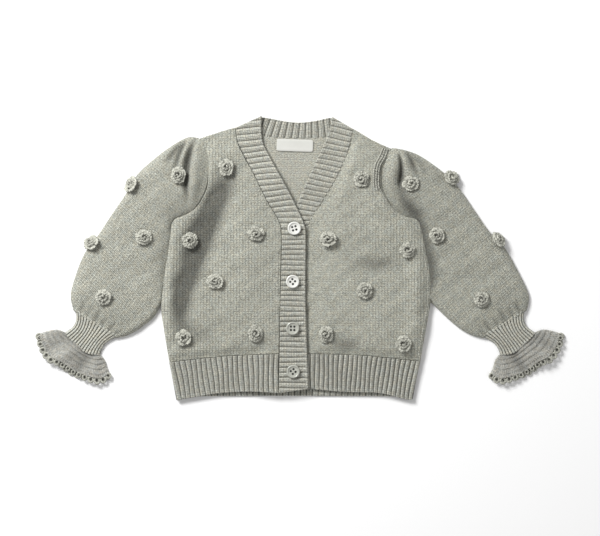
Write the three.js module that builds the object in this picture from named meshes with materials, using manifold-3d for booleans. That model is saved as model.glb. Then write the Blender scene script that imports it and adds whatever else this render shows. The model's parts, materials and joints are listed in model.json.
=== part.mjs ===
// Knitted baby cardigan with balloon sleeves, buttoned and laid flat on its back panel.
// Millimetres. +X is towards the wearer's left sleeve, +Y towards the neck, +Z up from the surface.
import * as THREE from 'three';
import { mergeVertices } from 'three/addons/utils/BufferGeometryUtils.js';
import Module from 'manifold-3d';

const wasm = await Module();
wasm.setup();

// Cloth and seams
const CLOTH = 2.6;
const SEAM = 0.3;
const LAYER = CLOTH + SEAM;
const LAID = LAYER + CLOTH;
const HOLLOW = 3.8;
const HIGHEST_UNDERSIDE = CLOTH + HOLLOW;
const CURVED_SEAM = 0.8;
const HEM_CLEAR = 0.2;

// Ribbing: height of a rib over the cloth, and the number of ribs on each band
const RIB = { hem: 0.8, band: 0.8, neck: 0.7, cuff: 0.7, ruffle: 0.7 };
const RIBS = { hemRight: 18, hemLeft: 20, bandRight: 47, bandLeft: 21, neck: 18, cuff: 28, ruffle: 3 };

// Height of the body's top face over the seams' height, away from its edges
const BODY_LOFT = 2.2;
const PLACKET_LOFT = 3.2;
const SLEEVE_LOFT = 3.2;

// Undersides of the button bands: at the neck, and where the right one lies over the left one
const BAND_OVER = LAID + RIB.band + SEAM;
const BAND_AT_NECK = LAYER + RIB.neck;

// Buttons
const BUTTON = { diameter: 13.4, thickness: 2.6, rim: 0.5, rimWidth: 1.5, hole: 1.6, spread: 2.8, turn: 15 };
const BUTTONS = [
  { x: -5.7, y: 29.5, shell: 'bright' },
  { x: -7.3, y: -23.5, shell: 'bright' },
  { x: -7.3, y: -70, shell: 'grey' },
  { x: -6.8, y: -113, shell: 'grey' },
];

// Woven neck label
const LABEL = { x: -5.1, y: 112.4, width: 36.4, height: 12.2, thickness: 0.9, turn: -2 };

// Crochet rosettes
const ROSETTE = { radius: 7.6, height: 5.6, petals: 5, sides: 15, scallop: 0.1, waving: 0.18 };

// Outlines of the pieces as laid, each from the neck or shoulder downwards
const SHOULDER_RIGHT = [{ x: -100.7, y: 119 }, { x: -80, y: 126 }, { x: -64, y: 130.5 }];
const SHOULDER_LEFT = [{ x: 91, y: 109 }, { x: 72, y: 118 }, { x: 53, y: 129 }];

const ARMHOLE_RIGHT = [
  { x: -100.7, y: 119 },
  { x: -95, y: 108 },
  { x: -92, y: 96 },
  { x: -92.4, y: 82 },
  { x: -95.5, y: 67 },
  { x: -105, y: 51 },
  { x: -116, y: 43 },
  { x: -124.7, y: 39 },
];
const ARMHOLE_LEFT = [
  { x: 91, y: 109 },
  { x: 87.5, y: 99 },
  { x: 83, y: 91 },
  { x: 81.6, y: 81 },
  { x: 82.5, y: 69 },
  { x: 91.8, y: 51 },
  { x: 104, y: 42 },
  { x: 117.3, y: 37.5 },
];
const SIDE_RIGHT = [
  { x: -129, y: 31 },
  { x: -130.5, y: 15 },
  { x: -134, y: -6 },
  { x: -136.5, y: -26 },
  { x: -138.6, y: -50 },
  { x: -136, y: -70 },
  { x: -130.5, y: -104 },
];
const SIDE_LEFT = [
  { x: 122, y: 25 },
  { x: 125.2, y: 10 },
  { x: 129, y: -9 },
  { x: 130.7, y: -28 },
  { x: 129.8, y: -48 },
  { x: 125.5, y: -72 },
  { x: 120, y: -103 },
];
const SLEEVE_OUTER_RIGHT = [
  { x: -101.5, y: 120 },
  { x: -112, y: 120.6 },
  { x: -125, y: 114 },
  { x: -142, y: 102 },
  { x: -162, y: 84 },
  { x: -173, y: 65.6 },
  { x: -189, y: 42 },
  { x: -202, y: 22.5 },
  { x: -213, y: 8.5 },
  { x: -222, y: -11 },
  { x: -229, y: -36 },
  { x: -226.4, y: -52.4 },
];
const SLEEVE_OUTER_LEFT = [
  { x: 92, y: 110 },
  { x: 104, y: 108 },
  { x: 120, y: 102 },
  { x: 141.7, y: 86.8 },
  { x: 157, y: 72.3 },
  { x: 174, y: 48 },
  { x: 189, y: 26.5 },
  { x: 203, y: 12.6 },
  { x: 217, y: -12 },
  { x: 228.5, y: -37 },
  { x: 226.4, y: -52.4 },
];
// The stretch of the sleeve's inner edge that stands clear of the body
const SLEEVE_INNER = [
  { x: 146, y: -59 },
  { x: 154, y: -66 },
  { x: 162, y: -72 },
  { x: 173, y: -77.5 },
  { x: 182.7, y: -80 },
];
// Rows of the body's side that the sleeve lies against
const SLEEVE_LEAVES_SIDE = 5;

const BAND_RIGHT_OUTER = [
  { x: -64, y: 130.3 },
  { x: -61, y: 112.5 },
  { x: -46, y: 84 },
  { x: -33, y: 57.6 },
  { x: -21, y: 37 },
  { x: -18.2, y: 20 },
  { x: -19.5, y: -42 },
  { x: -21, y: -134.8 },
];
const BAND_RIGHT_INNER = [
  { x: -38.2, y: 142 },
  { x: -37.5, y: 118 },
  { x: -28.8, y: 99 },
  { x: -14, y: 72 },
  { x: -3.4, y: 51 },
  { x: 4.2, y: 34 },
  { x: 6, y: 20 },
  { x: 5.8, y: -42 },
  { x: 8.6, y: -130.5 },
];
const BAND_LEFT_INNER = [
  { x: 32.1, y: 141 },
  { x: 27.4, y: 122 },
  { x: 14, y: 92.4 },
  { x: 4.6, y: 71 },
  { x: -5, y: 50 },
  { x: -14, y: 32 },
  { x: -17, y: 15 },
  { x: -17.5, y: -42 },
  { x: -17, y: -129 },
];
const BAND_LEFT_OUTER = [
  { x: 53, y: 128.8 },
  { x: 47.5, y: 104.4 },
  { x: 35.4, y: 77.6 },
  { x: 23.4, y: 57.6 },
  { x: 10, y: 35.5 },
  { x: 5, y: 18 },
  { x: 4.5, y: -42 },
  { x: 5.5, y: -129 },
];
const NECKBAND_TOP = [
  { x: -46, y: 137.4 },
  { x: -38, y: 140.6 },
  { x: -14, y: 136.5 },
  { x: 1, y: 135.4 },
  { x: 16.5, y: 137.3 },
  { x: 31, y: 140 },
  { x: 40, y: 135.6 },
];
const NECKBAND_BOTTOM = [
  { x: -55, y: 129.8 },
  { x: -36, y: 122 },
  { x: -14, y: 120 },
  { x: 5, y: 119.9 },
  { x: 27, y: 121 },
  { x: 45, y: 127.8 },
];
const HEM_TOP_RIGHT = [{ x: -130.5, y: -104 }, { x: -75, y: -98 }, { x: -20.4, y: -95.5 }];
const HEM_TOP_LEFT = [{ x: 120, y: -103 }, { x: 61, y: -97 }, { x: 5, y: -95.5 }];
const HEM_TOP_BACK = [
  { x: -130.5, y: -104 },
  { x: -60, y: -97.5 },
  { x: 60, y: -97 },
  { x: 120, y: -103 },
];
const HEM_SIDE_RIGHT = [{ x: -130.5, y: -104.3 }, { x: -127.4, y: -120 }, { x: -123.3, y: -142 }];
const HEM_SIDE_LEFT = [{ x: 120, y: -103.3 }, { x: 116.4, y: -120 }, { x: 112.4, y: -141 }];
const HEM_EDGE_RIGHT = [
  { x: -123.3, y: -142 },
  { x: -100, y: -138 },
  { x: -80, y: -135 },
  { x: -50, y: -133.5 },
  { x: -21.3, y: -134.8 },
];
const HEM_EDGE_LEFT = [
  { x: 112.4, y: -141 },
  { x: 105, y: -141 },
  { x: 79, y: -135 },
  { x: 42.7, y: -133.8 },
  { x: 5.8, y: -130.2 },
];
const HEM_EDGE_BACK = [
  { x: -123.3, y: -141.5 },
  { x: -90, y: -137.6 },
  { x: 80, y: -137.6 },
  { x: 112.4, y: -140.5 },
];

// Cuff and ruffle of the left arm; the right arm has them mirrored
const CUFF_SEAM = [{ x: 226.4, y: -53 }, { x: 205, y: -67 }, { x: 182.7, y: -80.6 }];
const CUFF_OUTER = [
  { x: 226.4, y: -53 },
  { x: 223.5, y: -60 },
  { x: 226.4, y: -68 },
  { x: 235.4, y: -75 },
];
const CUFF_INNER = [
  { x: 182.7, y: -80.6 },
  { x: 192.5, y: -84 },
  { x: 198, y: -91 },
  { x: 200, y: -97 },
];
const RUFFLE_SEAM = [
  { x: 235.4, y: -75 },
  { x: 224.6, y: -86 },
  { x: 213, y: -95 },
  { x: 200, y: -97 },
];
const RUFFLE_OUTER = [
  { x: 235.4, y: -75 },
  { x: 242.5, y: -71.5 },
  { x: 253, y: -73 },
  { x: 262.6, y: -76.5 },
];
const RUFFLE_INNER = [
  { x: 200, y: -97 },
  { x: 195, y: -102 },
  { x: 192.5, y: -110 },
  { x: 189, y: -117.5 },
];
const RUFFLE_EDGE = [
  { x: 262.6, y: -76.5 },
  { x: 260.5, y: -88.5 },
  { x: 252, y: -101.5 },
  { x: 241.5, y: -106.5 },
  { x: 227, y: -116 },
  { x: 215, y: -121 },
  { x: 199, y: -124 },
  { x: 189, y: -117.5 },
];
// How far the ruffle's edge runs in and out, as a share of its length
const PICOT_DEPTH = 0.05;

// Folds of the cloth: each is a soft ridge, or with a negative height a trough, along a curve
const FOLDS_FRONT_RIGHT = [
  { name: 'side roll', from: [-124, 28], bend: [-129, -14], to: [-131, -70], width: 6, height: 1.2 },
  { name: 'long trough', from: [-74, 68], bend: [-98, 22], to: [-122, -72], width: 11, height: -2.1 },
  { name: 'chest swell', from: [-48, 50], bend: [-44, 10], to: [-50, -30], width: 22, height: 0.7 },
];
const FOLDS_FRONT_LEFT = [
  { name: 'chest swell', from: [50, 22], bend: [70, 20], to: [92, 14], width: 13, height: 1 },
  { name: 'cross trough', from: [56, -2], bend: [76, -9], to: [100, -3], width: 6, height: -1.8 },
  { name: 'dimple over the hem', from: [38, -86], bend: [46, -88], to: [54, -84], width: 7, height: -1.2 },
];
const FOLDS_SLEEVE_RIGHT = [
  { name: 'gathered roll', from: [-104, 112], bend: [-99, 84], to: [-114, 52], width: 8, height: 3.4 },
  { name: 'deep pleat', from: [-104, 117], bend: [-117, 94], to: [-112, 60], width: 3.6, height: -4 },
  { name: 'second roll', from: [-108, 116], bend: [-119, 104], to: [-119, 88], width: 3.4, height: 1.6 },
  { name: 'second pleat', from: [-113, 115], bend: [-120, 106], to: [-124, 92], width: 2.8, height: -2 },
  { name: 'third pleat', from: [-118, 114], bend: [-125, 108], to: [-132, 97], width: 3, height: -1.2 },
  { name: 'gather at the cuff', from: [-212, -38], bend: [-206, -52], to: [-208, -62], width: 4, height: -1 },
];
const FOLDS_SLEEVE_LEFT = [
  { name: 'gathered roll', from: [95, 104], bend: [84, 76], to: [108, 49], width: 7, height: 3.2 },
  { name: 'deep pleat', from: [98, 102], bend: [102, 88], to: [98, 66], width: 3.4, height: -4.4 },
  { name: 'edge of the roll', from: [98, 68], bend: [100, 52], to: [116, 43], width: 4.5, height: -2.4 },
  { name: 'second roll', from: [101, 106], bend: [107, 96], to: [112, 84], width: 3, height: 1.6 },
  { name: 'second pleat', from: [105, 106], bend: [112, 97], to: [117, 84], width: 2.8, height: -1.8 },
  { name: 'gather at the cuff', from: [212, -38], bend: [206, -52], to: [208, -62], width: 4, height: -1 },
];
const FOLDS_RUFFLE = [
  { name: 'standing fold', from: [218, -92], bend: [230, -103], to: [240, -106], width: 5, height: 2 },
  { name: 'trough beside it', from: [212, -96], bend: [218, -108], to: [224, -117], width: 4, height: -1.2 },
];

// Places of the rosettes; those on a sleeve's outer edge lean outwards, in degrees from upright
const ROSETTES = [
  { on: 'sleeve_right', x: -121.3, y: 82.3, turn: 10 },
  { on: 'sleeve_right', x: -168, y: 73, turn: 40, lean: 42, heading: 149 },
  { on: 'sleeve_right', x: -155.5, y: 20.7, turn: 75 },
  { on: 'sleeve_right', x: -207, y: 14.5, turn: 20, lean: 42, heading: 141 },
  { on: 'sleeve_right', x: -195.7, y: -39, turn: 55 },
  { on: 'front_right', x: -73.7, y: 90.4, turn: 30 },
  { on: 'front_right', x: -110, y: 17.7, turn: 5 },
  { on: 'front_right', x: -43.8, y: 24, turn: 65 },
  { on: 'front_right', x: -84.7, y: -23.4, turn: 100 },
  { on: 'front_right', x: -115.6, y: -79.3, turn: 45 },
  { on: 'front_right', x: -44, y: -75.2, turn: 80 },
  { on: 'front_left', x: 60.8, y: 78.4, turn: 15 },
  { on: 'front_left', x: 28.2, y: 19, turn: 50 },
  { on: 'front_left', x: 106.7, y: 8, turn: 85 },
  { on: 'front_left', x: 64.5, y: -32.6, turn: 25 },
  { on: 'front_left', x: 26.2, y: -76, turn: 60 },
  { on: 'front_left', x: 102.7, y: -84.7, turn: 0 },
  { on: 'sleeve_left', x: 110.4, y: 73.8, turn: 35 },
  { on: 'sleeve_left', x: 151.5, y: 80, turn: 70, lean: 40, heading: 46 },
  { on: 'sleeve_left', x: 136.4, y: 22.5, turn: 12 },
  { on: 'sleeve_left', x: 198, y: 18.5, turn: 47, lean: 42, heading: 44 },
  { on: 'sleeve_left', x: 180.8, y: -41, turn: 90 },
];

const FINISHES = {
  knit: { color: 0xa5a79a, roughness: 0.95, metalness: 0 },
  ribbing: { color: 0xa0a295, roughness: 0.95, metalness: 0 },
  crochet: { color: 0x9d9f92, roughness: 0.95, metalness: 0 },
  label: { color: 0xe6e6df, roughness: 0.7, metalness: 0 },
  bright: { color: 0xeeeee8, roughness: 0.25, metalness: 0 },
  grey: { color: 0xb4b6aa, roughness: 0.3, metalness: 0 },
};

// A smooth curve in plan through the rows of an outline
function curve(rows) {
  return new THREE.SplineCurve(rows.map(({ x, y }) => new THREE.Vector2(x, y)));
}

// Rows made for each row of an outline where the curve between them counts
const FINER = 4;

// An outline with rows added along its smooth curve
function finely(rows) {
  return curve(rows).getPoints(FINER * (rows.length - 1));
}

// The rows of an outline moved sideways by a distance, to the right of the way that they run
function moved(rows, distance) {
  return rows.map(({ x, y }, row) => {
    const before = rows[Math.max(row - 1, 0)];
    const after = rows[Math.min(row + 1, rows.length - 1)];
    const run = new THREE.Vector2(after.x - before.x, after.y - before.y).normalize();
    return { x: x + run.y * distance, y: y - run.x * distance };
  });
}

function shifted(rows, dx, dy) {
  return rows.map(({ x, y }) => ({ x: x + dx, y: y + dy }));
}

function mirrored(rows) {
  return rows.map(({ x, y }) => ({ x: -x, y }));
}

// A four-sided patch of the plan between its edges: u runs from left to right, v from top to bottom
function patch({ top, bottom, left, right }) {
  const edges = { top: curve(top), bottom: curve(bottom), left: curve(left), right: curve(right) };
  return (u, v) => {
    const along = edges.top.getPointAt(u).multiplyScalar(1 - v);
    along.addScaledVector(edges.bottom.getPointAt(u), v);
    const across = edges.left.getPointAt(v).multiplyScalar(1 - u);
    across.addScaledVector(edges.right.getPointAt(v), u);
    const corners = edges.top.getPointAt(0).multiplyScalar((1 - u) * (1 - v));
    corners.addScaledVector(edges.top.getPointAt(1), u * (1 - v));
    corners.addScaledVector(edges.bottom.getPointAt(0), (1 - u) * v);
    corners.addScaledVector(edges.bottom.getPointAt(1), u * v);
    return along.add(across).sub(corners);
  };
}

// A soft step from 0 at one value to 1 at the other
function ramp(value, zero, one) {
  const t = THREE.MathUtils.clamp((value - zero) / (one - zero), 0, 1);
  return t * t * (3 - 2 * t);
}

// Points along the curve of a fold
const FOLD_STEPS = 16;

// The rise of the cloth at a place: each fold falls off with the distance from its curve and at its ends
function foldRise(folds) {
  const lines = folds.map(({ from, bend, to, width, height }) => {
    const corners = [from, bend, to].map(([x, y]) => new THREE.Vector2(x, y));
    return { points: new THREE.QuadraticBezierCurve(...corners).getPoints(FOLD_STEPS), width, height };
  });
  return (place) => {
    let rise = 0;
    for (const { points, width, height } of lines) {
      const strengths = points.map((point, step) => {
        const fade = Math.sqrt(Math.sin((Math.PI * (step + 1)) / (FOLD_STEPS + 2)));
        return fade * Math.exp(-((point.distanceTo(place) / width) ** 2));
      });
      rise += height * Math.max(...strengths);
    }
    return rise;
  };
}

// Even shares from 0 to 1
function even(count) {
  return Array.from({ length: count + 1 }, (_, step) => step / count);
}

function between(from, to, count) {
  return even(count).map((share) => THREE.MathUtils.lerp(from, to, share));
}

// A closed body from its vertices and four-sided faces, with its faces turned outwards
function closedBody(vertices, quads) {
  const triangles = quads.flatMap(([a, b, c, d]) => [[a, b, c], [a, c, d]]);
  const corner = (index) => new THREE.Vector3().fromArray(vertices, index * 3);
  const volumeOf = ([a, b, c]) => corner(a).dot(corner(b).cross(corner(c)));
  const volume = triangles.reduce((sum, triangle) => sum + volumeOf(triangle), 0);
  const outwards = volume > 0 ? triangles : triangles.map(([a, b, c]) => [a, c, b]);
  const geometry = new THREE.BufferGeometry();
  geometry.setAttribute('position', new THREE.Float32BufferAttribute(vertices, 3));
  geometry.setIndex(outwards.flat());
  geometry.computeVertexNormals();
  return geometry;
}

// A panel of cloth over a patch of the plan: an underside and a top face, joined round the rim
function panel(plan, us, vs, faces) {
  const vertices = [];
  for (const face of ['under', 'top']) {
    vs.forEach((v, row) => us.forEach((u, column) => {
      const place = plan(u, v);
      vertices.push(place.x, place.y, faces(place, { u, v, row, column })[face]);
    }));
  }
  const topStart = us.length * vs.length;
  const at = (row, column) => row * us.length + column;
  const quads = [];
  for (let row = 0; row < vs.length - 1; row += 1) {
    for (let column = 0; column < us.length - 1; column += 1) {
      const ring = [at(row, column), at(row, column + 1), at(row + 1, column + 1), at(row + 1, column)];
      quads.push(ring, ring.map((index) => index + topStart).reverse());
    }
  }
  const rimLine = [
    ...us.slice(1).map((_, column) => at(0, column)),
    ...vs.slice(1).map((_, row) => at(row, us.length - 1)),
    ...us.slice(1).map((_, column) => at(vs.length - 1, us.length - 1 - column)),
    ...vs.slice(1).map((_, row) => at(vs.length - 1 - row, 0)),
  ];
  rimLine.forEach((index, step) => {
    const next = rimLine[(step + 1) % rimLine.length];
    quads.push([next, index, index + topStart, next + topStart]);
  });
  return closedBody(vertices, quads);
}

// The two faces of a cloth whose top face is at a height: it keeps its thickness over a shallow hollow
function clothFaces(height) {
  const under = THREE.MathUtils.clamp(height - CLOTH, LAYER, HIGHEST_UNDERSIDE);
  return { under, top: Math.max(height, under + CLOTH) };
}

// The share of its full height that a rounded edge has reached at a distance from it
function roundedEdge(distance, radius) {
  return Math.sqrt(1 - (1 - Math.min(distance / radius, 1)) ** 2);
}

// A flattened tube over a patch, open at both ends: u crosses it and v runs along it
function tube(plan, { around, stops, wall, edgeRadius, topAt, stopAt = (v) => v }) {
  const middle = wall + SEAM / 2;
  const vertices = [];
  for (const skin of ['outer', 'inner']) {
    const inset = skin === 'inner' ? wall : 0;
    stops.forEach((stop, ring) => {
      for (let step = 0; step < around; step += 1) {
        const angle = (2 * Math.PI * step) / around;
        const across = (1 - Math.cos(angle)) / 2;
        const v = stopAt(stop, step, ring);
        const width = plan(0, v).distanceTo(plan(1, v));
        const u = inset / width + across * (1 - (2 * inset) / width);
        const place = plan(u, v);
        const { under, top } = topAt(place, { u, v: stop, step, ring });
        const reached = roundedEdge(Math.min(across, 1 - across) * (width - 2 * inset), edgeRadius - inset);
        const heights = skin === 'outer' ? { lower: 0, upper: top } : { lower: wall, upper: under };
        const face = Math.sin(angle) >= 0 ? heights.upper : heights.lower;
        vertices.push(place.x, place.y, middle + (face - middle) * reached);
      }
    });
  }
  const at = (skin, ring, step) => (skin * stops.length + ring) * around + (step % around);
  const quads = [];
  for (let step = 0; step < around; step += 1) {
    for (let ring = 0; ring < stops.length - 1; ring += 1) {
      const skins = [0, 1].map((skin) => [
        at(skin, ring, step), at(skin, ring, step + 1), at(skin, ring + 1, step + 1), at(skin, ring + 1, step),
      ]);
      quads.push(skins[0], skins[1].reverse());
    }
    const last = stops.length - 1;
    quads.push([at(0, 0, step + 1), at(0, 0, step), at(1, 0, step), at(1, 0, step + 1)]);
    quads.push([at(0, last, step), at(0, last, step + 1), at(1, last, step + 1), at(1, last, step)]);
  }
  return closedBody(vertices, quads);
}

// The height of a rib on every second line of points
function ribbed(line, height) {
  return line % 2 ? height : 0;
}

// Grid lines of the panels, closer together at the neck and at the armholes
const BACK_ACROSS = [0, 0.1, 0.2, ...between(0.24, 0.76, 12), 0.8, 0.9, 1];
const BACK_ALONG = [...between(0, 0.36, 8), 0.38, 0.4, 0.42, 0.45, 0.5, 0.58, 0.7, 0.85, 1];
const BACK_HEM_COLUMNS = 14;
const FRONT_GRID = { columns: 13, rows: 18 };

function backPanel() {
  const left = [...ARMHOLE_RIGHT, ...SIDE_RIGHT];
  const right = [...ARMHOLE_LEFT, ...SIDE_LEFT];
  const top = [...SHOULDER_RIGHT, ...NECKBAND_BOTTOM, ...[...SHOULDER_LEFT].reverse()];
  const plan = patch({ top, bottom: HEM_TOP_BACK, left, right });
  return panel(plan, BACK_ACROSS, BACK_ALONG, () => ({ under: 0, top: CLOTH }));
}

function backHem() {
  const plan = patch({
    top: shifted(HEM_TOP_BACK, 0, -SEAM),
    bottom: HEM_EDGE_BACK,
    left: HEM_SIDE_RIGHT,
    right: HEM_SIDE_LEFT,
  });
  return panel(plan, even(BACK_HEM_COLUMNS), even(2), () => ({ under: 0, top: CLOTH }));
}

function backNeckband() {
  const bottom = shifted(NECKBAND_BOTTOM, 0, CURVED_SEAM);
  const plan = patch({
    top: NECKBAND_TOP,
    bottom,
    left: [NECKBAND_TOP.at(0), bottom.at(0)],
    right: [NECKBAND_TOP.at(-1), bottom.at(-1)],
  });
  const faces = (_, { column }) => ({ under: 0, top: CLOTH + ribbed(column, RIB.neck) });
  return panel(plan, even(2 * RIBS.neck), even(1), faces);
}

// Distances over which a front rises to its loft from each of its edges
const EDGE_ROOM = { side: 14, shoulder: 20, hem: 12, placket: 26 };
const FRONT_SIZE = { width: 110, length: 225 };
const PLACKET_RISE = { from: -62, to: -26 };
const PLACKET_START = { from: 105, to: 45 };
const LEFT_FOLDS_CLEAR = { from: 12, to: 30 };
const BAND_CLIMB = { from: 112, to: 62 };
const NECK_CLIMB = { from: 96, to: 114 };

// The height that the right front has where it joins the button band, which lies over the left one
function placketRise(x) {
  return PLACKET_LOFT * ramp(x, PLACKET_RISE.from, PLACKET_RISE.to);
}

function frontRight() {
  const rise = foldRise(FOLDS_FRONT_RIGHT);
  const plan = patch({
    top: SHOULDER_RIGHT,
    bottom: HEM_TOP_RIGHT,
    left: [...ARMHOLE_RIGHT, ...SIDE_RIGHT],
    right: moved([...BAND_RIGHT_OUTER.slice(0, -1), HEM_TOP_RIGHT.at(-1)], CURVED_SEAM),
  });
  const faces = (place, { u, v }) => {
    const body = BODY_LOFT * ramp(u * FRONT_SIZE.width, 0, EDGE_ROOM.side)
      * ramp(v * FRONT_SIZE.length, 0, EDGE_ROOM.shoulder)
      * ramp((1 - v) * FRONT_SIZE.length, 0, EDGE_ROOM.hem);
    const placket = placketRise(place.x) * ramp(place.y, PLACKET_START.from, PLACKET_START.to);
    return clothFaces(LAID + Math.max(body + rise(place), placket, 0));
  };
  return panel(plan, even(FRONT_GRID.columns), even(FRONT_GRID.rows), faces);
}

function frontLeft() {
  const rise = foldRise(FOLDS_FRONT_LEFT);
  const plan = patch({
    top: SHOULDER_LEFT,
    bottom: HEM_TOP_LEFT,
    left: [...ARMHOLE_LEFT, ...SIDE_LEFT],
    right: moved([...BAND_LEFT_OUTER.slice(0, -1), HEM_TOP_LEFT.at(-1)], -CURVED_SEAM),
  });
  const faces = (place, { u, v }) => {
    const body = BODY_LOFT * ramp(u * FRONT_SIZE.width, 0, EDGE_ROOM.side)
      * ramp((1 - u) * FRONT_SIZE.width, 0, EDGE_ROOM.placket)
      * ramp(v * FRONT_SIZE.length, 0, EDGE_ROOM.shoulder)
      * ramp((1 - v) * FRONT_SIZE.length, 0, EDGE_ROOM.hem);
    const folds = rise(place) * ramp(place.x, LEFT_FOLDS_CLEAR.from, LEFT_FOLDS_CLEAR.to);
    return clothFaces(LAID + Math.max(body + folds, 0));
  };
  return panel(plan, even(FRONT_GRID.columns), even(FRONT_GRID.rows), faces);
}

function frontHemRight() {
  const top = shifted(HEM_TOP_RIGHT, 0, -SEAM);
  const plan = patch({
    top,
    bottom: HEM_EDGE_RIGHT,
    left: HEM_SIDE_RIGHT,
    right: shifted([top.at(-1), BAND_RIGHT_OUTER.at(-1)], -SEAM, 0),
  });
  const faces = (place, { column }) => {
    const { under, top } = clothFaces(LAID + placketRise(place.x));
    return { under, top: top + ribbed(column, RIB.hem) };
  };
  return panel(plan, even(2 * RIBS.hemRight), even(2), faces);
}

function frontHemLeft() {
  const top = shifted(HEM_TOP_LEFT, 0, -SEAM);
  const plan = patch({
    top,
    bottom: HEM_EDGE_LEFT,
    left: HEM_SIDE_LEFT,
    right: shifted([top.at(-1), HEM_EDGE_LEFT.at(-1)], HEM_CLEAR, 0),
  });
  // The last rib lies under the button band and is left flat
  const hiddenFrom = 2 * RIBS.hemLeft - 2;
  const faces = (_, { column }) => {
    const rib = column > hiddenFrom ? 0 : ribbed(column, RIB.hem);
    return { under: LAYER, top: LAID + rib };
  };
  return panel(plan, even(2 * RIBS.hemLeft), even(2), faces);
}

function bandRight() {
  const plan = patch({
    top: [BAND_RIGHT_OUTER.at(0), BAND_RIGHT_INNER.at(0)],
    bottom: [BAND_RIGHT_OUTER.at(-1), BAND_RIGHT_INNER.at(-1)],
    left: BAND_RIGHT_OUTER,
    right: BAND_RIGHT_INNER,
  });
  const faces = (place, { row }) => {
    const climb = ramp(place.y, BAND_CLIMB.from, BAND_CLIMB.to);
    const under = THREE.MathUtils.lerp(BAND_AT_NECK, BAND_OVER, climb);
    return { under, top: under + CLOTH + ribbed(row, RIB.band) };
  };
  return panel(plan, even(2), even(2 * RIBS.bandRight), faces);
}

function bandLeft() {
  const plan = patch({
    top: [BAND_LEFT_INNER.at(0), BAND_LEFT_OUTER.at(0)],
    bottom: [BAND_LEFT_INNER.at(-1), BAND_LEFT_OUTER.at(-1)],
    left: BAND_LEFT_INNER,
    right: BAND_LEFT_OUTER,
  });
  // Ribs down to where the band passes under the other one, and plain rows below
  const shownShare = 0.43;
  const hiddenRows = 10;
  const shown = between(0, shownShare, 2 * RIBS.bandLeft);
  const hidden = between(shownShare, 1, hiddenRows).slice(1);
  const faces = (place, { row, v }) => {
    const under = THREE.MathUtils.lerp(LAYER, BAND_AT_NECK, ramp(place.y, NECK_CLIMB.from, NECK_CLIMB.to));
    return { under, top: under + CLOTH + (v < shownShare ? ribbed(row, RIB.band) : 0) };
  };
  return panel(plan, even(2), [...shown, ...hidden], faces);
}

// Distances along the sleeve, closer together at the gathered head and at the cuff
const HEAD_STOPS = [0, 0.022, 0.045, 0.07, 0.095, 0.125, 0.16, 0.21];
const ARM_STOPS = [0.28, 0.36, 0.46, 0.57, 0.68, 0.79, 0.89, 0.96, 1];
const SLEEVE_AROUND = 24;
const SLEEVE_EDGE_RADIUS = 9;

// Shares of the sleeve's length: the gathered head, where the lines fan out from the underarm, and
// where its crown and folds rise from the armhole and sink again towards the cuff
const HEAD_DEPTH = 0.15;
const FAN = { from: 0.03, to: 0.3 };
const CROWN = { from: -0.05, to: 0.06, roundness: 0.6 };
const CROWN_SINKS = { from: 0.84, to: 1, by: 0.8 };
const FOLDS_START = 0.04;

// The sleeve in plan: straight lines from the outer to the inner edge, bowed at the head to fit the
// armhole. They fan out from the underarm first, where the inner edge turns down the body's side.
function sleevePlan({ outer, head, inner }) {
  const edges = { outer: curve(outer), head: curve(head), inner: curve(inner) };
  const chord = { from: edges.head.getPointAt(0), to: edges.head.getPointAt(1) };
  return (u, v) => {
    const innerEnd = edges.inner.getPointAt(v * ramp(v, FAN.from, FAN.to));
    const line = edges.outer.getPointAt(v).lerp(innerEnd, u);
    const bow = edges.head.getPointAt(u).sub(chord.from.clone().lerp(chord.to, u));
    return line.addScaledVector(bow, Math.max(1 - v / HEAD_DEPTH, 0));
  };
}

// A balloon sleeve: its head follows the armhole and its inner edge the body's side
function sleeve({ armhole, side, outer, inner, folds, armholeMove }) {
  const rise = foldRise(folds);
  const seam = finely(moved([...armhole, ...side], armholeMove));
  const underarm = FINER * (armhole.length - 1);
  const leavesSide = underarm + FINER * SLEEVE_LEAVES_SIDE;
  const plan = sleevePlan({
    outer,
    head: [outer.at(0), ...seam.slice(1, underarm + 1)],
    inner: [...seam.slice(underarm, leavesSide), ...inner],
  });
  const topAt = (place, { u, v }) => {
    const crown = SLEEVE_LOFT * (4 * u * (1 - u)) ** CROWN.roundness * ramp(v, CROWN.from, CROWN.to);
    const sunk = crown * (1 - CROWN_SINKS.by * ramp(v, CROWN_SINKS.from, CROWN_SINKS.to));
    return clothFaces(LAID + Math.max(sunk + rise(place) * ramp(v, 0, FOLDS_START), 0));
  };
  return tube(plan, {
    around: SLEEVE_AROUND,
    stops: [...HEAD_STOPS, ...ARM_STOPS],
    wall: CLOTH,
    edgeRadius: SLEEVE_EDGE_RADIUS,
    topAt,
  });
}

function sleeveRight() {
  return sleeve({
    armhole: ARMHOLE_RIGHT,
    side: SIDE_RIGHT,
    outer: SLEEVE_OUTER_RIGHT,
    inner: mirrored(SLEEVE_INNER),
    folds: FOLDS_SLEEVE_RIGHT,
    armholeMove: CURVED_SEAM,
  });
}

function sleeveLeft() {
  return sleeve({
    armhole: ARMHOLE_LEFT,
    side: SIDE_LEFT,
    outer: SLEEVE_OUTER_LEFT,
    inner: SLEEVE_INNER,
    folds: FOLDS_SLEEVE_LEFT,
    armholeMove: -CURVED_SEAM,
  });
}

const CUFF = { wall: 2.2, edgeRadius: 5, loft: 0.9, around: 2 * RIBS.cuff };
const RUFFLE = { wall: 2, edgeRadius: 3.4, loft: 1, around: 46 };

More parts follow.
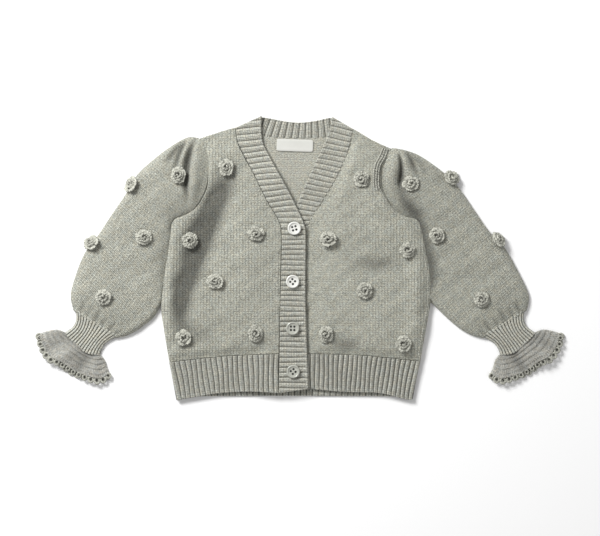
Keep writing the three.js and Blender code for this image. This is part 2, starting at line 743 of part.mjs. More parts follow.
function cuff(sided) {
  const plan = patch({
    top: sided(CUFF_SEAM),
    bottom: sided(RUFFLE_SEAM),
    left: sided(CUFF_OUTER),
    right: sided(CUFF_INNER),
  });
  const topAt = (_, { u, step }) => {
    const under = CUFF.wall + SEAM + CUFF.loft * Math.sin(Math.PI * u);
    return { under, top: under + CUFF.wall + ribbed(step, RIB.cuff) };
  };
  return tube(plan, { ...CUFF, stops: even(2), topAt });
}

function ruffle(sided) {
  const seam = sided(shifted(RUFFLE_SEAM, SEAM, -SEAM));
  const plan = patch({
    top: seam,
    bottom: sided(RUFFLE_EDGE),
    left: [seam.at(0), ...sided(RUFFLE_OUTER.slice(1))],
    right: [seam.at(-1), ...sided(RUFFLE_INNER.slice(1))],
  });
  const rings = 2 * RIBS.ruffle;
  const sidedFolds = FOLDS_RUFFLE.map((fold) => {
    const [from, bend, to] = [fold.from, fold.bend, fold.to].map(([x, y]) => {
      const place = sided([{ x, y }])[0];
      return [place.x, place.y];
    });
    return { ...fold, from, bend, to };
  });
  const rise = foldRise(sidedFolds);
  const topAt = (place, { u, ring }) => {
    const wave = Math.max(RUFFLE.loft * Math.sin(Math.PI * u) + rise(place), 0);
    const under = RUFFLE.wall + SEAM + wave;
    return { under, top: under + RUFFLE.wall + ribbed(ring, RIB.ruffle) };
  };
  const stopAt = (stop, step) => (stop === 1 ? stop - PICOT_DEPTH * (step % 2) : stop);
  return tube(plan, { ...RUFFLE, stops: even(rings), topAt, stopAt });
}

function neckLabel() {
  const { x, y, width, height, thickness, turn } = LABEL;
  const geometry = new THREE.BoxGeometry(width, height, thickness);
  const mesh = clothMesh('label', geometry, 'label');
  mesh.position.set(x, y, LAYER + thickness / 2);
  mesh.rotation.z = THREE.MathUtils.degToRad(turn);
  return mesh;
}

// A solid for cutting, from a closed geometry with its shared vertices merged
function solidOf(geometry) {
  const bare = geometry.clone();
  bare.deleteAttribute('normal');
  bare.deleteAttribute('uv');
  const merged = mergeVertices(bare);
  const vertProperties = new Float32Array(merged.attributes.position.array);
  const triVerts = new Uint32Array(merged.index.array);
  return new wasm.Manifold(new wasm.Mesh({ numProp: 3, vertProperties, triVerts }));
}

function geometryOf(solid) {
  const { vertProperties, triVerts } = solid.getMesh();
  const geometry = new THREE.BufferGeometry();
  geometry.setAttribute('position', new THREE.BufferAttribute(vertProperties, 3));
  geometry.setIndex(new THREE.BufferAttribute(triVerts, 1));
  geometry.computeVertexNormals();
  return geometry;
}

const BUTTON_SIDES = 16;
const HOLE_SIDES = 6;

// A round button with a raised rim and four sewing holes
function buttonGeometry() {
  const { diameter, thickness, rim, rimWidth, hole, spread } = BUTTON;
  const radius = diameter / 2;
  const profile = [
    [0, 0],
    [radius - rim, 0],
    [radius, thickness / 2],
    [radius - rim, thickness],
    [radius - rimWidth, thickness],
    [radius - rimWidth - rim, thickness - rim],
    [0, thickness - rim],
  ].map(([across, height]) => new THREE.Vector2(across, height));
  const turned = new THREE.LatheGeometry(profile, BUTTON_SIDES).rotateX(Math.PI / 2);
  let solid = solidOf(turned);
  for (const [sideX, sideY] of [[1, 1], [1, -1], [-1, 1], [-1, -1]]) {
    const drill = new THREE.CylinderGeometry(hole / 2, hole / 2, 3 * thickness, HOLE_SIDES);
    drill.rotateX(Math.PI / 2).translate((sideX * spread) / 2, (sideY * spread) / 2, thickness / 2);
    solid = solid.subtract(solidOf(drill));
  }
  return geometryOf(solid);
}

// Rings of a rosette from its centre to its base, as shares of its radius and height
const ROSETTE_RINGS = [
  { radius: 0.38, height: 1, wave: 0.4 },
  { radius: 0.72, height: 0.72, wave: 1 },
  { radius: 1, height: 0.45, wave: 0.6 },
  { radius: 0.86, height: 0, wave: 0 },
];
const ROSETTE_HEART = 0.7;

// A crochet rosette: scalloped petals wound round a heart, with each ring turned a little further
function rosetteGeometry() {
  const { radius, height, petals, sides, scallop, waving } = ROSETTE;
  const vertices = [0, 0, ROSETTE_HEART * height];
  ROSETTE_RINGS.forEach((ring, turn) => {
    for (let side = 0; side < sides; side += 1) {
      const angle = (2 * Math.PI * (side + turn / 2)) / sides;
      const petal = Math.cos(petals * angle);
      const reach = radius * ring.radius * (1 + scallop * ring.radius * petal);
      const level = height * ring.height * (1 - waving * ring.wave * petal);
      vertices.push(reach * Math.cos(angle), reach * Math.sin(angle), level);
    }
  });
  vertices.push(0, 0, 0);
  const at = (ring, side) => 1 + ring * sides + (side % sides);
  const lastRing = ROSETTE_RINGS.length - 1;
  const base = 1 + ROSETTE_RINGS.length * sides;
  const triangles = [];
  for (let side = 0; side < sides; side += 1) {
    triangles.push(0, at(0, side), at(0, side + 1));
    for (let ring = 0; ring < lastRing; ring += 1) {
      triangles.push(at(ring, side), at(ring + 1, side), at(ring, side + 1));
      triangles.push(at(ring, side + 1), at(ring + 1, side), at(ring + 1, side + 1));
    }
    triangles.push(base, at(lastRing, side + 1), at(lastRing, side));
  }
  const geometry = new THREE.BufferGeometry();
  geometry.setAttribute('position', new THREE.Float32BufferAttribute(vertices, 3));
  geometry.setIndex(triangles);
  geometry.computeVertexNormals();
  return geometry;
}

// Steps of the sample points along a facet, and the height that a leaning rosette is set down from
const SAMPLES = 5;
const LEANING_HEIGHT = 7;
const UPWARDS = new THREE.Vector3(0, 0, 1);

// Points spread over the facets of a cloth, each with its facet's normal
function facetSamples(geometry) {
  const position = geometry.attributes.position;
  const index = geometry.index.array;
  const samples = [];
  for (let start = 0; start < index.length; start += 3) {
    const corner = (step) => new THREE.Vector3().fromBufferAttribute(position, index[start + step]);
    const [a, b, c] = [0, 1, 2].map(corner);
    const normal = new THREE.Triangle(a, b, c).getNormal(new THREE.Vector3());
    for (let i = 0; i <= SAMPLES; i += 1) {
      for (let j = 0; j <= SAMPLES - i; j += 1) {
        const point = a.clone().multiplyScalar(1 - (i + j) / SAMPLES);
        point.addScaledVector(b, i / SAMPLES).addScaledVector(c, j / SAMPLES);
        samples.push({ point, normal });
      }
    }
  }
  return samples;
}

// The way that the cloth faces round a place, or the stated lean of a rosette on a sleeve's edge
function facingAt(samples, { x, y, lean, heading }, reach) {
  if (lean) {
    const [tilt, turn] = [lean, heading].map(THREE.MathUtils.degToRad);
    return new THREE.Vector3(Math.sin(tilt), 0, Math.cos(tilt)).applyAxisAngle(UPWARDS, turn);
  }
  const near = ({ point, normal }) => normal.z > 0 && Math.hypot(point.x - x, point.y - y) < reach;
  const facing = new THREE.Vector3();
  samples.filter(near).forEach(({ normal }) => facing.add(normal));
  return facing.normalize();
}

// Lays a rosette on the cloth, where its base and flared rim just clear every facet under them
function layRosette(mesh, samples, row) {
  const [rim, base] = ROSETTE_RINGS.slice(-2);
  const reachOf = (ring) => ROSETTE.radius * ring.radius * (1 + ROSETTE.scallop);
  const [rimReach, baseReach] = [reachOf(rim), reachOf(base)];
  const flare = (ROSETTE.height * rim.height * (1 - ROSETTE.waving)) / (rimReach - baseReach);
  const facing = facingAt(samples, row, rimReach);
  const origin = new THREE.Vector3(row.x, row.y, row.lean ? LEANING_HEIGHT : LAYER);
  const highest = samples.reduce((found, { point }) => {
    const offset = point.clone().sub(origin);
    const above = offset.dot(facing);
    const aside = offset.addScaledVector(facing, -above).length();
    if (aside > rimReach) return found;
    return Math.max(found, above - flare * Math.max(aside - baseReach, 0));
  }, -LEANING_HEIGHT);
  mesh.position.copy(origin).addScaledVector(facing, highest + SEAM);
  mesh.quaternion.setFromUnitVectors(UPWARDS, facing);
  mesh.rotateZ(THREE.MathUtils.degToRad(row.turn));
}

function clothMesh(name, geometry, finish) {
  const mesh = new THREE.Mesh(geometry, new THREE.MeshStandardMaterial(FINISHES[finish]));
  mesh.name = name;
  return mesh;
}

function panels() {
  return [
    clothMesh('back', backPanel(), 'knit'),
    clothMesh('front_right', frontRight(), 'knit'),
    clothMesh('front_left', frontLeft(), 'knit'),
    clothMesh('sleeve_right', sleeveRight(), 'knit'),
    clothMesh('sleeve_left', sleeveLeft(), 'knit'),
  ];
}

function bands() {
  return [
    clothMesh('hem_back', backHem(), 'ribbing'),
    clothMesh('hem_front_right', frontHemRight(), 'ribbing'),
    clothMesh('hem_front_left', frontHemLeft(), 'ribbing'),
    clothMesh('band_back_neck', backNeckband(), 'ribbing'),
    clothMesh('band_right', bandRight(), 'ribbing'),
    clothMesh('band_left', bandLeft(), 'ribbing'),
    clothMesh('cuff_right', cuff(mirrored), 'ribbing'),
    clothMesh('cuff_left', cuff((rows) => rows), 'ribbing'),
    clothMesh('ruffle_right', ruffle(mirrored), 'crochet'),
    clothMesh('ruffle_left', ruffle((rows) => rows), 'crochet'),
  ];
}

function buttons() {
  return BUTTONS.map(({ x, y, shell }, order) => {
    const mesh = clothMesh(`button_${order + 1}`, buttonGeometry(), shell);
    mesh.position.set(x, y, BAND_OVER + CLOTH + RIB.band + SEAM);
    mesh.rotation.z = THREE.MathUtils.degToRad(BUTTON.turn);
    return mesh;
  });
}

function rosettes(cloths) {
  const samples = Object.fromEntries(cloths.map((mesh) => [mesh.name, facetSamples(mesh.geometry)]));
  return ROSETTES.map((row, order) => {
    const mesh = clothMesh(`rosette_${String(order + 1).padStart(2, '0')}`, rosetteGeometry(), 'crochet');
    layRosette(mesh, samples[row.on], row);
    return mesh;
  });
}

const cardigan = new THREE.Group();
const cloths = panels();
cardigan.add(...cloths, ...bands(), neckLabel(), ...buttons(), ...rosettes(cloths));

export default cardigan;
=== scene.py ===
"""Dressed model of a knitted baby cardigan with balloon sleeves, buttoned and laid flat on its back.

Sizes are millimetres in the frame of the solids: +X towards the wearer's left sleeve, +Y towards the
neck and +Z up from the surface. Meshes are turned into metres when they are made.
"""

import json
import logging
import math
from collections.abc import Callable, Sequence
from dataclasses import dataclass, field
from enum import Enum

import bmesh
import bpy
import numpy as np
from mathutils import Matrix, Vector

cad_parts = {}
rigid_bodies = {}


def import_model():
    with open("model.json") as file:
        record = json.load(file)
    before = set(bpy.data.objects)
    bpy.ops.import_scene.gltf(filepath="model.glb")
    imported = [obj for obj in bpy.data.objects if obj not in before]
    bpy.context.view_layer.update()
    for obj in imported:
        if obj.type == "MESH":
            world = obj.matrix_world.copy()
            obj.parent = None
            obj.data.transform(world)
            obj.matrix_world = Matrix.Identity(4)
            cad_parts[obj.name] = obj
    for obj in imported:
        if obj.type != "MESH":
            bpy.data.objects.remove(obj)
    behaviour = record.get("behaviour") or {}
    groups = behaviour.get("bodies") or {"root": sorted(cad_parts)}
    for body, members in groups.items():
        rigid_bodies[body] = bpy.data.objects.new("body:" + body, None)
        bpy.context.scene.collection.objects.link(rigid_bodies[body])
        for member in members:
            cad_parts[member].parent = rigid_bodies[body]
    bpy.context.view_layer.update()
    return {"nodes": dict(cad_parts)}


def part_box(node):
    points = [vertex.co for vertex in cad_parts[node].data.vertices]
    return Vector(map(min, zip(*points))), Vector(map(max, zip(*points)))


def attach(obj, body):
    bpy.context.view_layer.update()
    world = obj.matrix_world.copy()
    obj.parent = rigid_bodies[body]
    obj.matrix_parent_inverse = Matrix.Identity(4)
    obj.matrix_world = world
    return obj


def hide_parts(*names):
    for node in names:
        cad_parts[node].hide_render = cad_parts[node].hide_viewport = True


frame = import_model()

log = logging.getLogger("cardigan")

MM = 0.001
BODY = "root"

Rows = Sequence[tuple[float, float]]
Plan = Callable[[np.ndarray, np.ndarray], np.ndarray]

# Cloth and seams
CLOTH = 2.6
SEAM = 0.3
LAYER = CLOTH + SEAM
LAID = LAYER + CLOTH
TUCK = 0.7
HEM_TUCK = 1.5
HEM_LIFT = 0.7
THINNEST = 1.6
BODY_LOFT = 4.0
PLACKET_LOFT = 3.2
SLEEVE_LOFT = 4.2

# Ribbing: height of a rib over the cloth, and the number of ribs on each piece. Bands.crowding adds to
# the right band's number below the V.
RIB = {"hem": 0.8, "band": 0.8, "neck": 0.7, "cuff": 0.7, "ruffle": 0.7}
RIBS = {"hem_right": 21, "hem_left": 24, "band_right": 45, "band_left": 21, "neck": 15, "cuff": 28}
BAND_OVER = LAID + RIB["band"] + SEAM
BAND_AT_NECK = LAYER + RIB["neck"]

# Depth of the line between the two wales of a rib
RIB_PARTING = 0.38

# Size of one stitch across and along the knitting
WALE = 3.0
COURSE = 2.3

# Outlines of the pieces as laid, each from the neck or shoulder downwards
SHOULDER_RIGHT = [(-100.7, 119), (-80, 126), (-64, 130.5)]
SHOULDER_LEFT = [(91, 109), (72, 118), (53, 129)]
ARMHOLE_RIGHT = [
    (-100.7, 119), (-95, 108), (-92, 96), (-92.4, 82), (-95.5, 67), (-105, 51), (-116, 43), (-124.7, 39),
]
ARMHOLE_LEFT = [
    (91, 109), (87.5, 99), (83, 91), (81.6, 81), (82.5, 69), (91.8, 51), (104, 42), (117.3, 37.5),
]
SIDE_RIGHT = [
    (-129, 31), (-130.5, 15), (-134, -6), (-136.5, -26), (-138.6, -50), (-136, -70), (-130.5, -104),
]
SIDE_LEFT = [(122, 25), (125.2, 10), (129, -9), (130.7, -28), (129.8, -48), (125.5, -72), (120, -103)]
SLEEVE_OUTER_RIGHT = [
    (-101.5, 120), (-112, 120.6), (-125, 114), (-142, 102), (-162, 84), (-173, 65.6),
    (-189, 42), (-202, 22.5), (-213, 8.5), (-222, -11), (-229, -36), (-226.4, -52.4),
]
SLEEVE_OUTER_LEFT = [
    (92, 110), (104, 108), (120, 102), (141.7, 86.8), (157, 72.3), (174, 48),
    (189, 26.5), (203, 12.6), (217, -12), (228.5, -37), (226.4, -52.4),
]
SLEEVE_INNER = [(146, -59), (154, -66), (162, -72), (173, -77.5), (182.7, -80)]
SLEEVE_LEAVES_SIDE = 5
BAND_RIGHT_OUTER = [
    (-64, 130.3), (-61, 112.5), (-46, 84), (-33, 57.6), (-21, 37), (-18.2, 20), (-19.5, -42), (-21, -134.8),
]
BAND_RIGHT_INNER = [
    (-38.2, 142), (-37.5, 118), (-28.8, 99), (-14, 72), (-3.4, 51), (4.2, 34), (6, 20), (5.8, -42),
    (8.6, -130.5),
]
BAND_LEFT_INNER = [
    (32.1, 141), (27.4, 122), (14, 92.4), (4.6, 71), (-5, 50), (-14, 32), (-17, 15), (-17.5, -42),
    (-17, -129),
]
BAND_LEFT_OUTER = [
    (53, 128.8), (47.5, 104.4), (35.4, 77.6), (23.4, 57.6), (10, 35.5), (5, 18), (4.5, -42), (5.5, -129),
]
NECKBAND_TOP = [(-46, 137.4), (-38, 140.6), (-14, 136.5), (1, 135.4), (16.5, 137.3), (31, 140), (40, 135.6)]
NECKBAND_BOTTOM = [(-55, 129.8), (-36, 122), (-14, 120), (5, 119.9), (27, 121), (45, 127.8)]
HEM_TOP_RIGHT = [(-130.5, -104), (-75, -98), (-20.4, -95.5)]
HEM_TOP_LEFT = [(120, -103), (61, -97), (5, -95.5)]
HEM_TOP_BACK = [(-130.5, -104), (-60, -97.5), (60, -97), (120, -103)]
HEM_SIDE_RIGHT = [(-130.5, -104.3), (-127.4, -120), (-123.3, -142)]
HEM_SIDE_LEFT = [(120, -103.3), (116.4, -120), (112.4, -141)]
HEM_EDGE_RIGHT = [(-123.3, -142), (-100, -138), (-80, -135), (-50, -133.5), (-21.3, -134.8)]
HEM_EDGE_LEFT = [(112.4, -141), (105, -141), (79, -135), (42.7, -133.8), (5.8, -130.2)]
HEM_EDGE_BACK = [(-123.3, -141.5), (-90, -137.6), (80, -137.6), (112.4, -140.5)]

# Cuff and ruffle of the left arm; the right arm has them mirrored
CUFF_SEAM = [(226.4, -53), (205, -67), (182.7, -80.6)]
CUFF_OUTER = [(226.4, -53), (223.5, -60), (226.4, -68), (235.4, -75)]
CUFF_INNER = [(182.7, -80.6), (192.5, -84), (198, -91), (200, -97)]
RUFFLE_SEAM = [(235.4, -75), (224.6, -86), (213, -95), (200, -97)]
RUFFLE_OUTER = [(235.4, -75), (242.5, -71.5), (253, -73), (262.6, -76.5)]
RUFFLE_INNER = [(200, -97), (195, -102), (192.5, -110), (189, -117.5)]
RUFFLE_EDGE = [
    (262.6, -76.5), (260.5, -88.5), (252, -101.5), (241.5, -106.5), (227, -116), (215, -121),
    (199, -124), (189, -117.5),
]

FOLD_STEPS = 48
TIGHT_EDGE = 1.2


def ramp(value: np.ndarray, zero: float, one: float) -> np.ndarray:
    """A soft step from 0 at one value to 1 at the other: 3t^2 - 2t^3 of the clamped share t."""
    share = np.clip((value - zero) / (one - zero), 0, 1)
    return share * share * (3 - 2 * share)


def at_least(value: np.ndarray, floor: np.ndarray | float, blend: float = 1.0) -> np.ndarray:
    """The larger of two heights, with the corner between them rounded over a blend height."""
    gap = value - floor
    return floor + (gap + np.sqrt(gap * gap + blend * blend)) / 2 - blend / 2


def shifted(rows: Rows, across: float, along: float) -> list[tuple[float, float]]:
    """The rows of an outline moved by a distance across and along the plan."""
    return [(x + across, y + along) for x, y in rows]


def mirrored(rows: Rows) -> list[tuple[float, float]]:
    """The rows of an outline on the other side of the garment."""
    return [(-x, y) for x, y in rows]


def as_laid(rows: Rows) -> list[tuple[float, float]]:
    """The rows of an outline, unchanged: the left arm's own side."""
    return list(rows)


def moved(rows: Rows, distance: float) -> list[tuple[float, float]]:
    """The rows of an outline moved sideways, to the right of the way that they run.

    Args:
        rows: The outline's rows.
        distance: How far each row moves, square to the line between the rows beside it.

    Returns:
        The moved rows.
    """
    places = np.asarray(rows, float)
    padded = np.vstack([places[:1], places, places[-1:]])
    run = padded[2:] - padded[:-2]
    run /= np.linalg.norm(run, axis=1, keepdims=True)
    return [tuple(row) for row in places + distance * np.stack([run[:, 1], -run[:, 0]], axis=1)]


class Curve:
    """A smooth curve through the rows of an outline, met at even distances along it."""

    DIVISIONS = 200
    FINER = 4

    def __init__(self, rows: Rows) -> None:
        """Measures the curve through the rows.

        Args:
            rows: The places (x, y) that the curve goes through.
        """
        self.rows = np.asarray(rows, float)
        self.steps = np.linspace(0, 1, self.DIVISIONS + 1)
        runs = np.linalg.norm(np.diff(self.through(self.steps), axis=0), axis=1)
        reached = np.concatenate([[0], np.cumsum(runs)])
        self.length = float(reached[-1])
        self.shares = reached / reached[-1]

    def through(self, steps: np.ndarray) -> np.ndarray:
        """Places at even steps from row to row, by the Catmull-Rom cubic of each four rows in turn.

        Args:
            steps: Shares from 0 at the first row to 1 at the last.

        Returns:
            Places, with x and y on the last axis.
        """
        last = len(self.rows) - 1
        place = np.asarray(steps, float) * last
        index = np.minimum(place.astype(int), last - 1)
        share = (place - index)[..., None]
        before, start, end, after = (self.rows[np.clip(index + step, 0, last)] for step in (-1, 0, 1, 2))
        leaving, arriving = (end - before) / 2, (after - start) / 2
        cubic = 2 * (start - end) + leaving + arriving
        square = 3 * (end - start) - 2 * leaving - arriving
        return ((cubic * share + square) * share + leaving) * share + start

    def at(self, share: np.ndarray | float) -> np.ndarray:
        """Places at shares of the curve's length."""
        return self.through(np.interp(np.clip(share, 0, 1), self.shares, self.steps))

    def finely(self) -> list[tuple[float, float]]:
        """The curve's rows with more rows added between them."""
        count = self.FINER * (len(self.rows) - 1)
        return [tuple(row) for row in self.through(np.linspace(0, 1, count + 1))]


class Patch:
    """A four-sided patch of the plan: u runs from its left to its right edge, v from top to bottom."""

    def __init__(self, top: Rows, bottom: Rows, left: Rows, right: Rows) -> None:
        """Takes the four edges.

        Args:
            top: Rows of the edge at v = 0.
            bottom: Rows of the edge at v = 1.
            left: Rows of the edge at u = 0.
            right: Rows of the edge at u = 1.
        """
        self.top, self.bottom, self.left, self.right = (Curve(rows) for rows in (top, bottom, left, right))

    def __call__(self, u: np.ndarray, v: np.ndarray) -> np.ndarray:
        """Places of the patch: the two ruled surfaces between facing edges, less the one of the corners."""
        across, along = np.asarray(u)[..., None], np.asarray(v)[..., None]
        ruled = self.top.at(u) * (1 - along) + self.bottom.at(u) * along
        ruled = ruled + self.left.at(v) * (1 - across) + self.right.at(v) * across
        upper = self.top.at(0.0) * (1 - across) + self.top.at(1.0) * across
        lower = self.bottom.at(0.0) * (1 - across) + self.bottom.at(1.0) * across
        return ruled - upper * (1 - along) - lower * along


class SleevePlan:
    """The sleeve in plan: straight lines from the outer to the inner edge, bowed at the gathered head."""

    HEAD_DEPTH = 0.15
    FAN_FROM = 0.03
    FAN_TO = 0.3

    def __init__(self, outer: Rows, head: Rows, inner: Rows) -> None:
        """Takes the three edges.

        Args:
            outer: Rows from the shoulder to the cuff.
            head: Rows from the shoulder to the underarm.
            inner: Rows from the underarm to the cuff.
        """
        self.outer, self.head, self.inner = Curve(outer), Curve(head), Curve(inner)

    def __call__(self, u: np.ndarray, v: np.ndarray) -> np.ndarray:
        """Places of the sleeve: u crosses it from the outer edge, v runs from the head to the cuff."""
        across = np.asarray(u)[..., None]
        inner_end = self.inner.at(v * ramp(v, self.FAN_FROM, self.FAN_TO))
        line = self.outer.at(v) * (1 - across) + inner_end * across
        chord = self.head.at(0.0) * (1 - across) + self.head.at(1.0) * across
        bow = (self.head.at(u) - chord) * np.maximum(1 - np.asarray(v) / self.HEAD_DEPTH, 0)[..., None]
        return line + bow


@dataclass(frozen=True)
class Fold:
    """A soft ridge of the cloth, or with a negative height a trough, along a bent line."""

    start: tuple[float, float]
    bend: tuple[float, float]
    end: tuple[float, float]
    width: float
    height: float

    def rise(self, places: np.ndarray) -> np.ndarray:
        """The height that the fold adds: a bell curve of the distance from its line, faded at its ends.

        Args:
            places: Plan places, with x and y on the last axis.

        Returns:
            The rise at each place.
        """
        share = np.linspace(0, 1, FOLD_STEPS + 1)[:, None]
        start, bend, end = (np.asarray(corner, float) for corner in (self.start, self.bend, self.end))
        line = start * (1 - share) ** 2 + bend * 2 * share * (1 - share) + end * share**2
        fade = np.sqrt(np.sin(np.pi * (np.arange(FOLD_STEPS + 1) + 1) / (FOLD_STEPS + 2)))
        away = np.linalg.norm(places[..., None, :] - line, axis=-1) / self.width
        return self.height * np.max(fade * np.exp(-away * away), axis=-1)

    def mirrored(self) -> "Fold":
        """The same fold on the other arm."""
        start, bend, end = mirrored([self.start, self.bend, self.end])
        return Fold(start, bend, end, self.width, self.height)


def rise_of(folds: Sequence[Fold], places: np.ndarray) -> np.ndarray:
    """The height that all the folds of a piece add at each place."""
    return sum((fold.rise(places) for fold in folds), np.zeros(places.shape[:-1]))


def crease_shade(folds: Sequence[Fold], places: np.ndarray, full: float = 3.0) -> np.ndarray:
    """Painted shade of the folds' troughs: how deep each place lies in them, as the fall over a full depth,
    from 0 to 1.
    """
    return np.clip(-rise_of(folds, places) / full, 0, 1)


@dataclass(frozen=True)
class Unevenness:
    """The slight waves of hand-laid knitting: a sum of a few sine waves in plan."""

    height: float = 0.22
    waves: tuple[tuple[float, float, float], ...] = (
        (0.21, 0.07, 0.4), (-0.11, 0.17, 2.1), (0.05, -0.24, 4.0), (0.31, 0.19, 1.2), (-0.27, 0.33, 5.1),
    )

    def rise(self, places: np.ndarray) -> np.ndarray:
        """Height of the waves at each place: sine of each wave's run across and along, added up."""
        x, y = places[..., 0], places[..., 1]
        waves = (np.sin(across * x + along * y + start) for across, along, start in self.waves)
        return self.height * sum(waves)


def rib_height(phase: np.ndarray, height: float, depth: float, width: float = 0.2) -> np.ndarray:
    """Height of ribbing: ribs with a bell-shaped groove at each whole number and a shallow one between.

    Args:
        phase: Place across the ribbing, counted in ribs.
        height: Height of a rib over the cloth.
        depth: Depth of a groove under the cloth's face.
        width: Width of a groove, as a share of a rib.

    Returns:
        The height over the cloth's face.
    """
    away = phase - np.round(phase)
    groove = np.exp(-((away / width) ** 2))
    between = np.exp(-(((np.abs(away) - 0.5) / (0.7 * width)) ** 2))
    return height - (height + depth) * groove - RIB_PARTING * between


def grid_faces(rows: int, columns: int, closed: bool = False) -> np.ndarray:
    """Four-sided faces of a grid of points, numbered row by row.

    Args:
        rows: Number of rows.
        columns: Number of points in a row.
        closed: Whether the last point of a row joins the first one.

    Returns:
        Corner indices, four to a face.
    """
    row = np.arange(rows - 1)[:, None]
    column = np.arange(columns if closed else columns - 1)[None, :]
    beside = (column + 1) % columns
    corners = [row * columns + column, row * columns + beside,
               (row + 1) * columns + beside, (row + 1) * columns + column]
    return np.stack(corners, axis=-1).reshape(-1, 4)


@dataclass
class Shell:
    """A mesh in the making: its points in millimetres, four-sided faces, and what its finish needs.

    That is a stitch place for each corner of a face, and for each point its painted shade, from 0 to 1:
    how much darker its colour is painted where shade falls, in creases and under or beside other pieces.
    """

    points: np.ndarray
    faces: np.ndarray
    stitches: np.ndarray
    # Painted shade at each point, from 0 to 1
    hollow: np.ndarray

    @classmethod
    def from_grid(cls, points: np.ndarray, stitches: np.ndarray | None = None, closed: bool = False,
                  hollow: np.ndarray | None = None) -> "Shell":
        """Makes a shell from a grid of points.

        Args:
            points: Grid of points, rows by columns by 3.
            stitches: Stitch places, rows by columns by 2, with one column more on a closed grid.
            closed: Whether each row closes on itself.
            hollow: Painted shade at each point, from 0 to 1.

        Returns:
            The shell.
        """
        rows, columns = points.shape[:2]
        if stitches is None:
            stitches = np.zeros((rows, columns + closed, 2))
        if hollow is None:
            hollow = np.zeros((rows, columns))
        corners = grid_faces(rows, stitches.shape[1])
        faces = grid_faces(rows, columns, closed)
        return cls(points.reshape(-1, 3), faces, stitches.reshape(-1, 2)[corners], hollow.ravel())

    @classmethod
    def joined(cls, shells: Sequence["Shell"]) -> "Shell":
        """One shell from several."""
        starts = np.cumsum([0] + [len(shell.points) for shell in shells[:-1]])
        faces = [shell.faces + start for shell, start in zip(shells, starts)]
        stitches = np.vstack([shell.stitches for shell in shells])
        hollow = np.concatenate([shell.hollow for shell in shells])
        return cls(np.vstack([shell.points for shell in shells]), np.vstack(faces), stitches, hollow)

    def outwards(self) -> "Shell":
        """The shell with its faces turned outwards, by the sign of the volume that they enclose."""
        a, b, c, d = (self.points[self.faces[:, corner]] for corner in range(4))
        volume = np.einsum("ij,ij->i", a, np.cross(b, c)) + np.einsum("ij,ij->i", a, np.cross(c, d))
        if volume.sum() >= 0:
            return self
        return Shell(self.points, self.faces[:, ::-1], self.stitches[:, ::-1], self.hollow)


class Finish(Enum):
    """The material slots of the record, by the finish that each one has."""

    KNIT = "knit"
    INSIDE = "knit on its plain side"
    RIBBING = "ribbing"
    BAND = "ribbing of the bands"
    CUFF = "ribbing of the cuffs"
    CROCHET = "crochet"
    RUFFLE = "crochet in rows"
    STITCHES = "knit in raised stitches"
    # Near-black beads that paint the shadow in the gaps between raised stitches
    GAPS = "knit in the gaps between stitches"
    # The buttons' thread: a near-black disc that also paints the shade in their holes
    THREAD = "knit with the thread of the buttons"
    LABEL = "label"
    SHELL_BRIGHT = "shell_bright"
    SHELL_GREY = "shell_grey"

    @property
    def slot(self) -> str:
        """The record's material slot that the finish belongs to."""
        return self.value.split()[0]


class Nodes:
    """A material's node tree, with short ways to add and join its nodes."""

    def __init__(self, name: str) -> None:
        """Starts an empty material.

        Args:
            name: The material's name.
        """
        self.material = bpy.data.materials.new(name)
        self.material.use_nodes = True
        self.tree = self.material.node_tree
        self.tree.nodes.clear()
        self.shader = self.tree.nodes.new("ShaderNodeBsdfPrincipled")
        output = self.tree.nodes.new("ShaderNodeOutputMaterial")
        self.tree.links.new(self.shader.outputs["BSDF"], output.inputs["Surface"])

    def add(self, kind: str, inputs: dict | None = None, **settings: object) -> bpy.types.Node:
        """Adds a node.

        Args:
            kind: The node's type name without its ShaderNode prefix.
            inputs: Values or sockets for its inputs, by name or number.
            settings: Properties of the node itself.

        Returns:
            The new node.
        """
        node = self.tree.nodes.new("ShaderNode" + kind)
        for name, value in settings.items():
            setattr(node, name, value)
        for name, value in (inputs or {}).items():
            if isinstance(value, bpy.types.NodeSocket):
                self.tree.links.new(value, node.inputs[name])
            else:
                node.inputs[name].default_value = value
        return node

    def math(self, operation: str, *values: object) -> bpy.types.NodeSocket:
        """Adds a sum of one or more numbers or sockets, and returns its output socket."""
        node = self.add("Math", dict(enumerate(values)), operation=operation)
        return node.outputs[0]

    def spread(self, value: bpy.types.NodeSocket, low: float, high: float,
               start: float = 0.0, end: float = 1.0) -> bpy.types.NodeSocket:
        """Spreads a number that runs from start to end evenly between two bounds."""
        inputs = {"Value": value, "From Min": start, "From Max": end, "To Min": low, "To Max": high}
        return self.add("MapRange", inputs).outputs["Result"]

    def mix(self, blend: str, share: object, first: object, second: object) -> bpy.types.NodeSocket:
        """Mixes two colours or colour sockets in a blend mode, by a share or its socket."""
        return self.add("Mix", {0: share, 6: first, 7: second}, data_type="RGBA", blend_type=blend).outputs[2]

    def shaded(self, factor: bpy.types.NodeSocket, depth: float) -> bpy.types.NodeSocket:
        """A lightness factor with painted shade: made darker by the share of shade in the point attribute
        hollow, up to the depth.
        """
        hollow = self.add("Attribute", attribute_name="hollow").outputs["Fac"]
        return self.math("MULTIPLY", factor, self.spread(hollow, 1.0, 1.0 - depth))

    def tinted(self, color: object, factor: bpy.types.NodeSocket) -> bpy.types.NodeSocket:
        """A colour or colour socket made lighter or darker by a factor."""
        grey = self.add("CombineColor", {"Red": factor, "Green": factor, "Blue": factor})
        first = (*color, 1) if isinstance(color, tuple) else color
        return self.mix("MULTIPLY", 1.0, first, grey.outputs["Color"])


